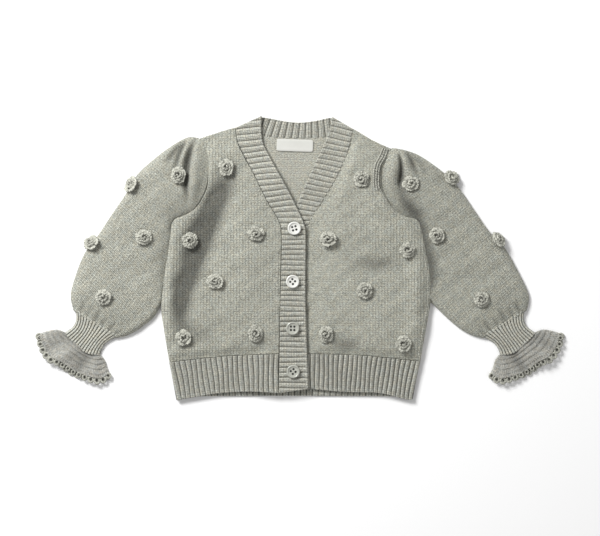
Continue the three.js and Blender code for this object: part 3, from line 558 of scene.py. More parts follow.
@dataclass(frozen=True)
class Wool:
    """Brushed wool: stitches in relief, flecked yarn and a faint sheen of loose fibres."""

    name: str
    color: tuple[float, float, float]
    wales_a_unit: float = 1.0
    # groove, stitch_shade and wale_shade set painted shade in the colour: darker in the grooves of ribbing,
    # between the stitch legs and between the wales
    groove: float = 0.0
    stitch_depth: float = 0.0007
    fleck: float = 0.42
    stitch_shade: float = 0.54
    wale_shade: float = 0.87
    # Depth of the painted shade in the creases that the hollow attribute marks
    painted_shade_depth: float = 0.66
    warm: tuple[float, float, float] = (1.03, 1.0, 0.96)
    cool: tuple[float, float, float] = (0.975, 1.0, 1.03)
    leg_fall: float = 14.0
    leg_slant: float = 1.3
    speckle_scale: float = 760.0
    hue_scale: float = 300.0
    cloud_scale: float = 30.0

    def material(self) -> bpy.types.Material:
        """Builds the material.

        A stitch is a pair of slanting legs. Across a wale the height is a half circle over each leg,
        and along it each leg starts later the further it is from the wale's middle line. Shade is
        painted into the colour: darker between the legs, between the wales, in the grooves of ribbing
        and in the creases that the hollow attribute marks. The yarn's own tone differs a little from
        stitch to stitch and is speckled by noise.

        Returns:
            The material.
        """
        nodes = Nodes(self.name)
        place = nodes.add("UVMap", uv_map="stitches").outputs["UV"]
        axes = nodes.add("SeparateXYZ", {0: place})
        across = nodes.math("MULTIPLY", axes.outputs["X"], self.wales_a_unit)
        middle = nodes.math("ABSOLUTE", nodes.math("SUBTRACT", nodes.math("FRACT", across), 0.5))
        leg = nodes.math("ABSOLUTE", nodes.math("SUBTRACT", middle, 0.25))
        leg_squared = nodes.math("MULTIPLY", leg, leg)
        leg_top = nodes.math("SUBTRACT", 1.0, nodes.math("MULTIPLY", leg_squared, self.leg_fall))
        later = nodes.math("MULTIPLY", middle, self.leg_slant)
        run = nodes.math("FRACT", nodes.math("ADD", axes.outputs["Y"], later))
        bump = nodes.math("SINE", nodes.math("MULTIPLY", run, math.pi))
        stitch = nodes.math("MULTIPLY", leg_top, nodes.math("POWER", bump, 0.6))
        fibres = nodes.add("TexNoise", {"Vector": place, "Scale": 1.7, "Detail": 4.0, "Roughness": 0.75})
        coordinates = nodes.add("TexCoord").outputs["Object"]
        speckle = nodes.add("TexNoise", {"Vector": coordinates, "Scale": self.speckle_scale, "Detail": 2.0,
                                         "Roughness": 0.6})
        hue = nodes.add("TexNoise", {"Vector": coordinates, "Scale": self.hue_scale, "Detail": 2.0})
        cloudy = nodes.add("TexNoise", {"Vector": coordinates, "Scale": self.cloud_scale, "Detail": 2.0})
        lumps = nodes.math("ADD", fibres.outputs[0], nodes.math("MULTIPLY", speckle.outputs[0], 0.8))
        relief = nodes.math("ADD", stitch, lumps)
        normal = nodes.add("Bump", {"Height": relief, "Distance": self.stitch_depth, "Strength": 0.9})
        low, high = 1 - self.fleck, 1 + self.fleck
        # Painted shade between the stitch legs and between the wales, and in the creases of the hollow
        # attribute; the speckle, fibres and clouds are the yarn's own uneven tone
        shade = nodes.spread(stitch, self.stitch_shade, 1.1)
        shade = nodes.math("MULTIPLY", shade, nodes.spread(speckle.outputs[0], low, high, 0.3, 0.7))
        shade = nodes.math("MULTIPLY", shade, nodes.spread(fibres.outputs[0], 0.74, 1.26, 0.3, 0.7))
        shade = nodes.math("MULTIPLY", shade, nodes.spread(middle, 1.08, self.wale_shade, 0.2, 0.5))
        shade = nodes.math("MULTIPLY", shade, nodes.spread(cloudy.outputs[0], 0.94, 1.06, 0.3, 0.7))
        shade = nodes.shaded(shade, self.painted_shade_depth)
        # Painted shade in the grooves of ribbing
        if self.groove:
            edge = nodes.math("ABSOLUTE", nodes.math("SUBTRACT", nodes.math("FRACT", axes.outputs["X"]), 0.5))
            deep = nodes.add("MapRange", {"Value": edge, "From Min": 0.3, "From Max": 0.5},
                             interpolation_type="SMOOTHSTEP")
            uneven = nodes.spread(speckle.outputs[0], 0.7 * self.groove, 1.3 * self.groove, 0.3, 0.7)
            shadow = nodes.math("MULTIPLY", deep.outputs["Result"], uneven)
            shade = nodes.math("MULTIPLY", shade, nodes.math("SUBTRACT", 1.0, shadow))
        warmth = nodes.spread(hue.outputs[0], 0.0, 1.0, 0.35, 0.65)
        tone = nodes.mix("MIX", warmth, (*self.cool, 1), (*self.warm, 1))
        color = nodes.mix("MULTIPLY", 1.0, (*self.color, 1), tone)
        shader = nodes.shader
        nodes.tree.links.new(nodes.tinted(color, shade), shader.inputs["Base Color"])
        nodes.tree.links.new(normal.outputs["Normal"], shader.inputs["Normal"])
        shader.inputs["Roughness"].default_value = 0.95
        shader.inputs["Specular IOR Level"].default_value = 0.15
        shader.inputs["Sheen Weight"].default_value = 0.12
        shader.inputs["Sheen Roughness"].default_value = 0.6
        return nodes.material


@dataclass(frozen=True)
class CrochetYarn:
    """Crochet work: twisted yarn with small lumps at each stitch."""

    name: str
    color: tuple[float, float, float]
    lump: float = 600.0
    # Depth of the painted shade that the hollow attribute marks
    painted_shade_depth: float = 0.75

    def material(self) -> bpy.types.Material:
        """Builds the material: cell-shaped lumps of yarn and fine fibres, with painted shade in the gaps
        between the lumps and in the creases that the hollow attribute marks.

        Returns:
            The material.
        """
        nodes = Nodes(self.name)
        coordinates = nodes.add("TexCoord").outputs["Object"]
        cells = nodes.add("TexVoronoi", {"Vector": coordinates, "Scale": self.lump})
        fibres = nodes.add("TexNoise", {"Vector": coordinates, "Scale": 1300.0, "Detail": 3.0})
        hollow = nodes.math("MULTIPLY", cells.outputs["Distance"], -0.8)
        relief = nodes.math("ADD", hollow, nodes.math("MULTIPLY", fibres.outputs[0], 0.6))
        normal = nodes.add("Bump", {"Height": relief, "Distance": 0.0008, "Strength": 0.9})
        # Painted shade: darker towards the gaps between the lumps, where the relief is lowest
        shade = nodes.spread(cells.outputs["Distance"], 1.25, 0.5)
        shade = nodes.math("MULTIPLY", shade, nodes.spread(fibres.outputs[0], 0.75, 1.25, 0.3, 0.7))
        shade = nodes.shaded(shade, self.painted_shade_depth)
        shader = nodes.shader
        nodes.tree.links.new(nodes.tinted(self.color, shade), shader.inputs["Base Color"])
        nodes.tree.links.new(normal.outputs["Normal"], shader.inputs["Normal"])
        shader.inputs["Roughness"].default_value = 0.95
        shader.inputs["Specular IOR Level"].default_value = 0.15
        shader.inputs["Sheen Weight"].default_value = 0.12
        return nodes.material


@dataclass(frozen=True)
class Thread:
    """Dark sewing thread: near black, which also paints the shade in the buttons' holes."""

    name: str
    color: tuple[float, float, float]

    def material(self) -> bpy.types.Material:
        """Builds the material: one even dark colour."""
        nodes = Nodes(self.name)
        nodes.shader.inputs["Base Color"].default_value = (*self.color, 1)
        nodes.shader.inputs["Roughness"].default_value = 0.8
        return nodes.material


@dataclass(frozen=True)
class WovenSatin:
    """The bare woven label: fine ribs of pale thread with a soft gloss."""

    name: str
    color: tuple[float, float, float]

    def material(self) -> bpy.types.Material:
        """Builds the material: two crossed sine waves of thread in relief.

        Returns:
            The material.
        """
        nodes = Nodes(self.name)
        coordinates = nodes.add("TexCoord").outputs["Object"]
        warp = nodes.add("TexWave", {"Vector": coordinates, "Scale": 700.0, "Distortion": 0.4})
        weft = nodes.add("TexWave", {"Vector": coordinates, "Scale": 900.0}, bands_direction="Y")
        weave = nodes.math("MULTIPLY", warp.outputs["Fac"], weft.outputs["Fac"])
        soiled = nodes.add("TexNoise", {"Vector": coordinates, "Scale": 120.0, "Detail": 2.0})
        patches = nodes.spread(soiled.outputs[0], 0.95, 1.04)
        # Darker where the weave's relief is low: painted shade between the threads; the soiled patches are the
        # label's own uneven tone
        shade = nodes.math("MULTIPLY", nodes.spread(weave, 0.93, 1.0), patches)
        normal = nodes.add("Bump", {"Height": weave, "Distance": 0.0001, "Strength": 0.5})
        shader = nodes.shader
        nodes.tree.links.new(nodes.tinted(self.color, shade), shader.inputs["Base Color"])
        nodes.tree.links.new(normal.outputs["Normal"], shader.inputs["Normal"])
        shader.inputs["Roughness"].default_value = 0.55
        return nodes.material


@dataclass(frozen=True)
class Nacre:
    """Polished shell: cloudy bands of colour under a clear gloss."""

    name: str
    color: tuple[float, float, float]
    banding: float
    grain: tuple[float, float, float] = (90, 340, 200)
    grain_turn: float = 0.6

    def material(self) -> bpy.types.Material:
        """Builds the material: stretched noise for the layers of the shell, and a clear coat.

        Returns:
            The material.
        """
        nodes = Nodes(self.name)
        coordinates = nodes.add("TexCoord").outputs["Object"]
        stretch = nodes.add("Mapping", {"Vector": coordinates, "Rotation": (0, 0, self.grain_turn),
                                        "Scale": self.grain})
        layers = nodes.add("TexNoise", {"Vector": stretch.outputs[0], "Scale": 1.0, "Detail": 4.0,
                                        "Distortion": 1.2})
        shade = nodes.spread(layers.outputs[0], 1 - self.banding, 1 + self.banding)
        shader = nodes.shader
        nodes.tree.links.new(nodes.tinted(self.color, shade), shader.inputs["Base Color"])
        shader.inputs["Roughness"].default_value = 0.28
        shader.inputs["Coat Weight"].default_value = 0.6
        shader.inputs["Coat Roughness"].default_value = 0.08
        return nodes.material


WOOL_COLOR = (0.47, 0.472, 0.405)
INSIDE_COLOR = (0.52, 0.515, 0.445)
HEM_COLOR = (0.53, 0.53, 0.465)
BAND_COLOR = (0.55, 0.548, 0.48)
CUFF_COLOR = (0.45, 0.447, 0.39)
RUFFLE_COLOR = (0.50, 0.495, 0.45)
MATERIALS = {
    Finish.KNIT: Wool("knit", WOOL_COLOR),
    Finish.INSIDE: Wool("knit_inside", INSIDE_COLOR),
    # The fourth number of each ribbing below is the painted shade in the grooves between its ribs
    Finish.RIBBING: Wool("ribbing", HEM_COLOR, 2.0, 0.72, fleck=0.35, wale_shade=0.66),
    Finish.BAND: Wool("ribbing_bands", BAND_COLOR, 2.0, 0.46, fleck=0.35, wale_shade=0.76),
    Finish.CUFF: Wool("ribbing_cuffs", CUFF_COLOR, 1.0, 0.8, fleck=0.35, stitch_shade=0.84, wale_shade=0.76,
                      stitch_depth=0.0003),
    Finish.CROCHET: CrochetYarn("crochet", (0.585, 0.585, 0.51)),
    Finish.RUFFLE: Wool("crochet_rows", RUFFLE_COLOR, fleck=0.3),
    Finish.STITCHES: CrochetYarn("raised_stitches", (0.54, 0.54, 0.475)),
    # A near-black copy of the crochet yarn: painted shadow in the gaps between raised stitches
    Finish.GAPS: CrochetYarn("painted_gap_shadow", (0.17, 0.17, 0.15)),
    # Near black: thread, and painted shade in the buttons' holes
    Finish.THREAD: Thread("button_thread_and_hole_shade", (0.02, 0.02, 0.018)),
    Finish.LABEL: WovenSatin("label", (0.61, 0.61, 0.57)),
    Finish.SHELL_BRIGHT: Nacre("shell_bright", (0.70, 0.70, 0.66), 0.2),
    Finish.SHELL_GREY: Nacre("shell_grey", (0.42, 0.425, 0.375), 0.3),
}


class Workroom:
    """Turns shells into pieces of the scene, each with its finish, attached to the frame's body."""

    MERGE = 1e-6

    def __init__(self) -> None:
        """Makes each finish's material once."""
        self.materials = {finish: look.material() for finish, look in MATERIALS.items()}
        self.pieces: dict[str, bpy.types.Object] = {}
        self.sheets: list[tuple[bpy.types.Object, str, dict]] = []
        self.attached: dict[str, list[bpy.types.Object]] = {}

    def make(self, name: str, shell: Shell, finish: Finish, replaces: Sequence[str] = ()) -> bpy.types.Object:
        """Makes one piece.

        Args:
            name: The piece's name.
            shell: Its mesh, in millimetres.
            finish: Its material slot.
            replaces: The solids that it stands for.

        Returns:
            The new object.
        """
        shell = shell.outwards()
        mesh = bpy.data.meshes.new(name)
        mesh.from_pydata((shell.points * MM).tolist(), [], shell.faces.tolist())
        stitches = mesh.uv_layers.new(name="stitches")
        stitches.data.foreach_set("uv", shell.stitches.astype(np.float32).ravel())
        # The point attribute hollow carries the painted shade that the materials darken their colour by
        hollow = mesh.attributes.new("hollow", "FLOAT", "POINT")
        hollow.data.foreach_set("value", shell.hollow.astype(np.float32))
        work = bmesh.new()
        work.from_mesh(mesh)
        bmesh.ops.remove_doubles(work, verts=work.verts, dist=self.MERGE)
        work.to_mesh(mesh)
        work.free()
        mesh.polygons.foreach_set("use_smooth", np.ones(len(mesh.polygons), bool))
        return self.dress(name, mesh, finish, replaces)

    def dress(self, name: str, mesh: bpy.types.Mesh, finish: Finish,
              replaces: Sequence[str]) -> bpy.types.Object:
        """Links a finished mesh as a piece, with its material, body, slot and the solids it replaces."""
        mesh.materials.append(self.materials[finish])
        piece = bpy.data.objects.new(name, mesh)
        bpy.context.scene.collection.objects.link(piece)
        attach(piece, BODY)
        if replaces:
            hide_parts(*replaces)
        self.pieces[name] = piece
        log.info("%s: %d faces", name, len(mesh.polygons))
        return piece

    def cloth(self, piece: bpy.types.Object, rests_on: str, flat: dict) -> None:
        """Notes that a piece is cloth, what it lies on and the size of its cut."""
        self.sheets.append((piece, rests_on, flat))

    def attach(self, piece: bpy.types.Object, ground: str) -> None:
        """Notes that a piece is sewn to a cloth piece."""
        self.attached.setdefault(ground, []).append(piece)

    def top_at(self, ground: str, x: float, y: float) -> float | None:
        """Height of a piece's upper face at a place, by a ray from above, or None beside the piece."""
        start = Vector((x * MM, y * MM, 1.0))
        hit, place, _, _ = self.pieces[ground].ray_cast(start, Vector((0, 0, -1)))
        return place.z / MM if hit else None


def with_edges(length: float, radius: float, spacing: float, arc: int = 4) -> np.ndarray:
    """Shares of a length for grid lines: close together over a rounded edge at each end, even between.

    Args:
        length: The length, in millimetres.
        radius: Radius of the rounded edges.
        spacing: Distance between the lines away from the edges.
        arc: Number of lines over each rounded edge.

    Returns:
        The shares, from 0 to 1.
    """
    edge = radius * (1 - np.cos(np.linspace(0, np.pi / 2, arc + 1))) / length
    count = max(int(round((1 - 2 * edge[-1]) * length / spacing)), 2)
    middle = np.linspace(edge[-1], 1 - edge[-1], count + 1)
    return np.concatenate([edge[:-1], middle, 1 - edge[-2::-1]])


def rounded_edge(distance: np.ndarray, radius: float) -> np.ndarray:
    """The share of its full height that a rounded edge has reached at a distance: a quarter circle."""
    return np.sqrt(1 - (1 - np.minimum(distance / radius, 1)) ** 2)


@dataclass
class Panel:
    """A flat piece of knitting: two faces over a patch of the plan, meeting round a rounded rim."""

    plan: Plan
    us: np.ndarray
    vs: np.ndarray
    edge_radius: float = 1.3
    end_radius: float = 1.3

    def places(self) -> tuple[np.ndarray, np.ndarray, np.ndarray]:
        """The grid's u and v and its places in plan."""
        v, u = np.meshgrid(self.vs, self.us, indexing="ij")
        return u, v, self.plan(u, v)

    def sides(self) -> tuple[np.ndarray, np.ndarray]:
        """The patch's width at each v and its length at each u."""
        u, v, _ = self.places()
        width = np.linalg.norm(self.plan(np.zeros_like(v), v) - self.plan(np.ones_like(v), v), axis=-1)
        length = np.linalg.norm(self.plan(u, np.zeros_like(u)) - self.plan(u, np.ones_like(u)), axis=-1)
        return width, length

    def flat(self) -> dict[str, object]:
        """The cut's size: greatest width and length, and the area in plan, in metres."""
        _, _, places = self.places()
        width, length = self.sides()
        area = plan_area(places)
        return {"flat": (width.max() * MM, length.max() * MM), "area": area * MM * MM}

    def shell(self, top: np.ndarray, under: np.ndarray, stitches: np.ndarray,
              hollow: np.ndarray | None = None) -> Shell:
        """Closes the piece: each face's height runs down a quarter circle to the middle at the rim.

        Args:
            top: Height of the top face over the grid.
            under: Height of the underside over the grid.
            stitches: Stitch places over the grid.
            hollow: Painted shade at each point, from 0 to 1.

        Returns:
            The closed shell.
        """
        u, v, places = self.places()
        width, length = self.sides()
        reached = np.minimum(rounded_edge(np.minimum(u, 1 - u) * width, self.edge_radius),
                             rounded_edge(np.minimum(v, 1 - v) * length, self.end_radius))
        middle = (top + under) / 2
        faces = []
        for height, turn in ((top, 1), (under, -1)):
            level = middle + (height - middle) * reached
            points = np.concatenate([places, level[..., None]], axis=-1)[::turn]
            depth = None if hollow is None else hollow[::turn]
            faces.append(Shell.from_grid(points, stitches[::turn], hollow=depth))
        return Shell.joined(faces)


def plan_area(places: np.ndarray) -> float:
    """Area of a grid in plan: half the cross product of the diagonals of each of its faces, added up."""
    first = places[1:, 1:] - places[:-1, :-1]
    second = places[1:, :-1] - places[:-1, 1:]
    return float(np.abs(first[..., 0] * second[..., 1] - first[..., 1] * second[..., 0]).sum() / 2)


@dataclass
class Tube:
    """A flattened tube of knitting, open at both ends: u crosses it and v runs along it.

    Its edge at u = 1 is tight up to the share of its length where it lies beside another piece.
    """

    plan: Plan
    stops: np.ndarray
    around: int
    wall: float
    edge_radius: tuple[float, float]
    under_longer: float = 0.0
    beside: float = 0.0

    def grid(self, inset: float) -> tuple[np.ndarray, np.ndarray, np.ndarray, np.ndarray]:
        """The grid of one skin, set in from the outline.

        Args:
            inset: Distance of the skin from the outline.

        Returns:
            The angle round the tube, u, v, and the tube's width at each point.
        """
        angle = 2 * np.pi * np.arange(self.around) / self.around
        v, angle = np.meshgrid(self.stops, angle, indexing="ij")
        v = v * (1 + self.under_longer * (1 - np.sin(angle)) / 2)
        width = np.linalg.norm(self.plan(np.zeros_like(v), v) - self.plan(np.ones_like(v), v), axis=-1)
        across = (1 - np.cos(angle)) / 2
        return angle, inset / width + across * (1 - 2 * inset / width), v, width

    def skin(self, inset: float, top: Callable, bottom: float, lift: Callable | None = None) -> np.ndarray:
        """Points of one skin: two faces that run down an ellipse's quarter to the middle at each edge.

        Args:
            inset: Distance of the skin from the outline.
            top: Height of the upper face, from places, u, v and the angle.
            bottom: Height of the lower face.
            lift: Height added to all of it, from places and v, where the cloth leaves the surface.

        Returns:
            The grid of points.
        """
        angle, u, v, width = self.grid(inset)
        places = self.plan(u, v)
        middle = self.wall + SEAM / 2
        across = (1 - np.cos(angle)) / 2
        room = np.minimum(across, 1 - across) * (width - 2 * inset)
        tight = ramp(v, self.beside, self.beside - 0.2) if self.beside else 0.0
        inner_radius = self.edge_radius[1] * (1 - tight) + (inset + TIGHT_EDGE) * tight
        radius = np.where(across < 0.5, self.edge_radius[0], inner_radius)
        reached = rounded_edge(room, radius - inset)
        face = np.where(np.sin(angle) >= 0, top(places, u, v, angle), bottom)
        level = middle + (face - middle) * reached
        if lift is not None:
            level = level + lift(places, v)
        return np.concatenate([places, level[..., None]], axis=-1)

    def shell(self, outer: np.ndarray, inner: np.ndarray, stitches: np.ndarray,
              hollow: np.ndarray | None = None) -> Shell:
        """Joins the two skins at the open ends.

        Args:
            outer: Points of the outer skin.
            inner: Points of the inner skin.
            stitches: Stitch places, with one column more than the points.
            hollow: Painted shade at each point of a skin, from 0 to 1.

        Returns:
            The closed shell.
        """
        grid = np.concatenate([outer, inner[::-1], outer[:1]])
        doubled = np.concatenate([stitches, stitches[::-1], stitches[:1]])
        if hollow is not None:
            hollow = np.concatenate([hollow, hollow[::-1], hollow[:1]])
        return Shell.from_grid(grid, doubled, closed=True, hollow=hollow)

    def flat(self) -> dict[str, object]:
        """The cut's size: the cloth all round, as greatest width, length and area."""
        _, u, v, width = self.grid(0)
        places = self.plan(u, v)
        half = self.around // 2 + 1
        runs = np.linalg.norm(np.diff(places[:, :half], axis=0), axis=-1).sum(axis=0)
        area = 2 * plan_area(places[:, :half])
        return {"flat": (2 * width.max() * MM, runs.max() * MM), "area": area * MM * MM}


def knit_stitches(places: np.ndarray, turn: float = 0.0) -> np.ndarray:
    """Stitch places of flat knitting: the plan turned to the wales, counted in wales and courses.

    Args:
        places: Plan places.
        turn: Angle of the wales from +Y, in degrees.

    Returns:
        Wales and courses.
    """
    tilt = math.radians(turn)
    across = places[..., 0] * math.cos(tilt) + places[..., 1] * math.sin(tilt)
    along = places[..., 1] * math.cos(tilt) - places[..., 0] * math.sin(tilt)
    return np.stack([across / WALE, along / COURSE], axis=-1)


def tube_stitches(points: np.ndarray, turn: float) -> np.ndarray:
    """Stitch places round a tube: wales by the distance over the cloth from the top's middle line.

    Args:
        points: Points of the outer skin.
        turn: Angle of the wales from +Y, in degrees.

    Returns:
        Wales and courses, with one column more than the points.
    """
    closed = np.concatenate([points, points[:, :1]], axis=1)
    runs = np.linalg.norm(np.diff(closed, axis=1), axis=-1)
    reached = np.concatenate([np.zeros((len(points), 1)), np.cumsum(runs, axis=1)], axis=1)
    middle = points.shape[1] // 4
    flat = knit_stitches(closed[..., :2], turn)
    direction = np.sign(flat[:, middle + 1, 0] - flat[:, middle, 0])[:, None]
    wales = flat[:, middle, 0][:, None] + direction * (reached - reached[:, middle : middle + 1]) / WALE
    return np.stack([wales, flat[..., 1]], axis=-1)


@dataclass
class Back:
    """Back panel, back hem and back neckband, flat on the surface, with the woven neck label."""

    grid: float = 3.0
    label_at: tuple[float, float] = (-5.1, 112.4)
    label_size: tuple[float, float, float] = (36.4, 12.2, 0.9)
    label_turn: float = -2.0
    label_corner: float = 0.5
    panel_size: tuple[float, float] = (240.0, 225.0)
    hem_size: tuple[float, float] = (250.0, 38.0)
    neck_size: tuple[float, float] = (95.0, 17.0)
    edge_radius: float = 1.3
    hem_ribs: int = 40

    def build(self, room: Workroom) -> None:
        left = [*ARMHOLE_RIGHT, *SIDE_RIGHT]
        right = [*ARMHOLE_LEFT, *SIDE_LEFT]
        top = [*SHOULDER_RIGHT, *NECKBAND_BOTTOM, *SHOULDER_LEFT[::-1]]
        plan = Patch(top, HEM_TOP_BACK, left, right)
        width, length = self.panel_size
        panel = Panel(plan, with_edges(width, self.edge_radius, self.grid),
                      with_edges(length, self.edge_radius, self.grid))
        _, _, places = panel.places()
        level = np.full(places.shape[:2], CLOTH)
        shell = panel.shell(level, np.zeros_like(level), knit_stitches(places))
        back = room.make("back_knit", shell, Finish.INSIDE, ["back"])
        label = self.label(room)
        room.cloth(back, "surface", panel.flat())
        width, length, _ = self.label_size
        room.cloth(label, "back_knit", {"flat": (width * MM, length * MM)})
        self.hem(room)
        self.neckband(room)

    def hem(self, room: Workroom) -> None:
        """The back's hem: ribbing on its upper face, flat below where it rests."""
        plan = Patch(shifted(HEM_TOP_BACK, 0, -SEAM), HEM_EDGE_BACK, HEM_SIDE_RIGHT, HEM_SIDE_LEFT)
        width, length = self.hem_size
        panel = Panel(plan, with_edges(width, self.edge_radius, 1.0), with_edges(length, self.edge_radius, 2.5))
        u, _, places = panel.places()
        phase = u * self.hem_ribs
        top = CLOTH + rib_height(phase, 0.0, 0.8)
        stitches = np.stack([phase, places[..., 1] / COURSE], axis=-1)
        piece = room.make("hem_back_rib", panel.shell(top, 0 * top, stitches), Finish.RIBBING, ["hem_back"])
        room.cloth(piece, "surface", panel.flat())

    def neckband(self, room: Workroom) -> None:
        """The ribbed band round the back of the neck."""
        bottom = shifted(NECKBAND_BOTTOM, 0, -TUCK)
        plan = Patch(NECKBAND_TOP, bottom, [NECKBAND_TOP[0], bottom[0]], [NECKBAND_TOP[-1], bottom[-1]])
        width, length = self.neck_size
        panel = Panel(plan, with_edges(width, 0.6, 0.55), with_edges(length, 1.2, 1.2), 0.6, 1.2)
        u, v, places = panel.places()
        phase = u * RIBS["neck"]
        fading = ramp(v, 0.0, 0.08)
        top = CLOTH + RIB["neck"] * (1 - fading) + fading * rib_height(phase, RIB["neck"], 0.9)
        stitches = np.stack([phase, v * length / COURSE], axis=-1)
        # Painted shade on the neckband: darker by a little all over, and painted shadow near its two ends,
        # where the front bands lie over it
        hollow = 0.16 + 0.6 * ramp(u, 0.2, 0.04) + 0.3 * ramp(u, 0.85, 0.97)
        shell = panel.shell(top, 0 * top, stitches, hollow)
        piece = room.make("band_back_neck_rib", shell, Finish.BAND, ["band_back_neck"])
        room.cloth(piece, "surface", panel.flat())

    def label(self, room: Workroom) -> bpy.types.Object:
        """The bare label: a folded strip of woven satin, its lower edge lifted a little from the knitting.

        Returns:
            The label's object.
        """
        width, length, thickness = self.label_size
        tilt = math.radians(self.label_turn)
        centre = np.asarray(self.label_at)
        axes = np.array([[math.cos(tilt), math.sin(tilt)], [-math.sin(tilt), math.cos(tilt)]])

        def plan(u: np.ndarray, v: np.ndarray) -> np.ndarray:
            """Places of the turned rectangle, its corners rounded by a high power of each place."""
            across, along = 2 * np.asarray(u) - 1, 1 - 2 * np.asarray(v)
            sideways = across * (1 - 0.03 * along**8) * width
            endways = along * (1 - 0.09 * across**24) * length
            return centre + np.stack([sideways, endways], axis=-1) / 2 @ axes

        corner = self.label_corner
        panel = Panel(plan, with_edges(width, corner, 1.0), with_edges(length, corner, 0.8), corner, corner)
        u, v, places = panel.places()
        lifted = LAYER + 0.25 * ramp(v, 0.6, 1.0) + 0.08 * np.sin(5 * u)
        pressed = 0.25 * np.exp(-((np.minimum(v, 1 - v) * length / 0.9) ** 2))
        shell = panel.shell(lifted + thickness - pressed, lifted, places)
        return room.make("neck_label", shell, Finish.LABEL, ["label"])


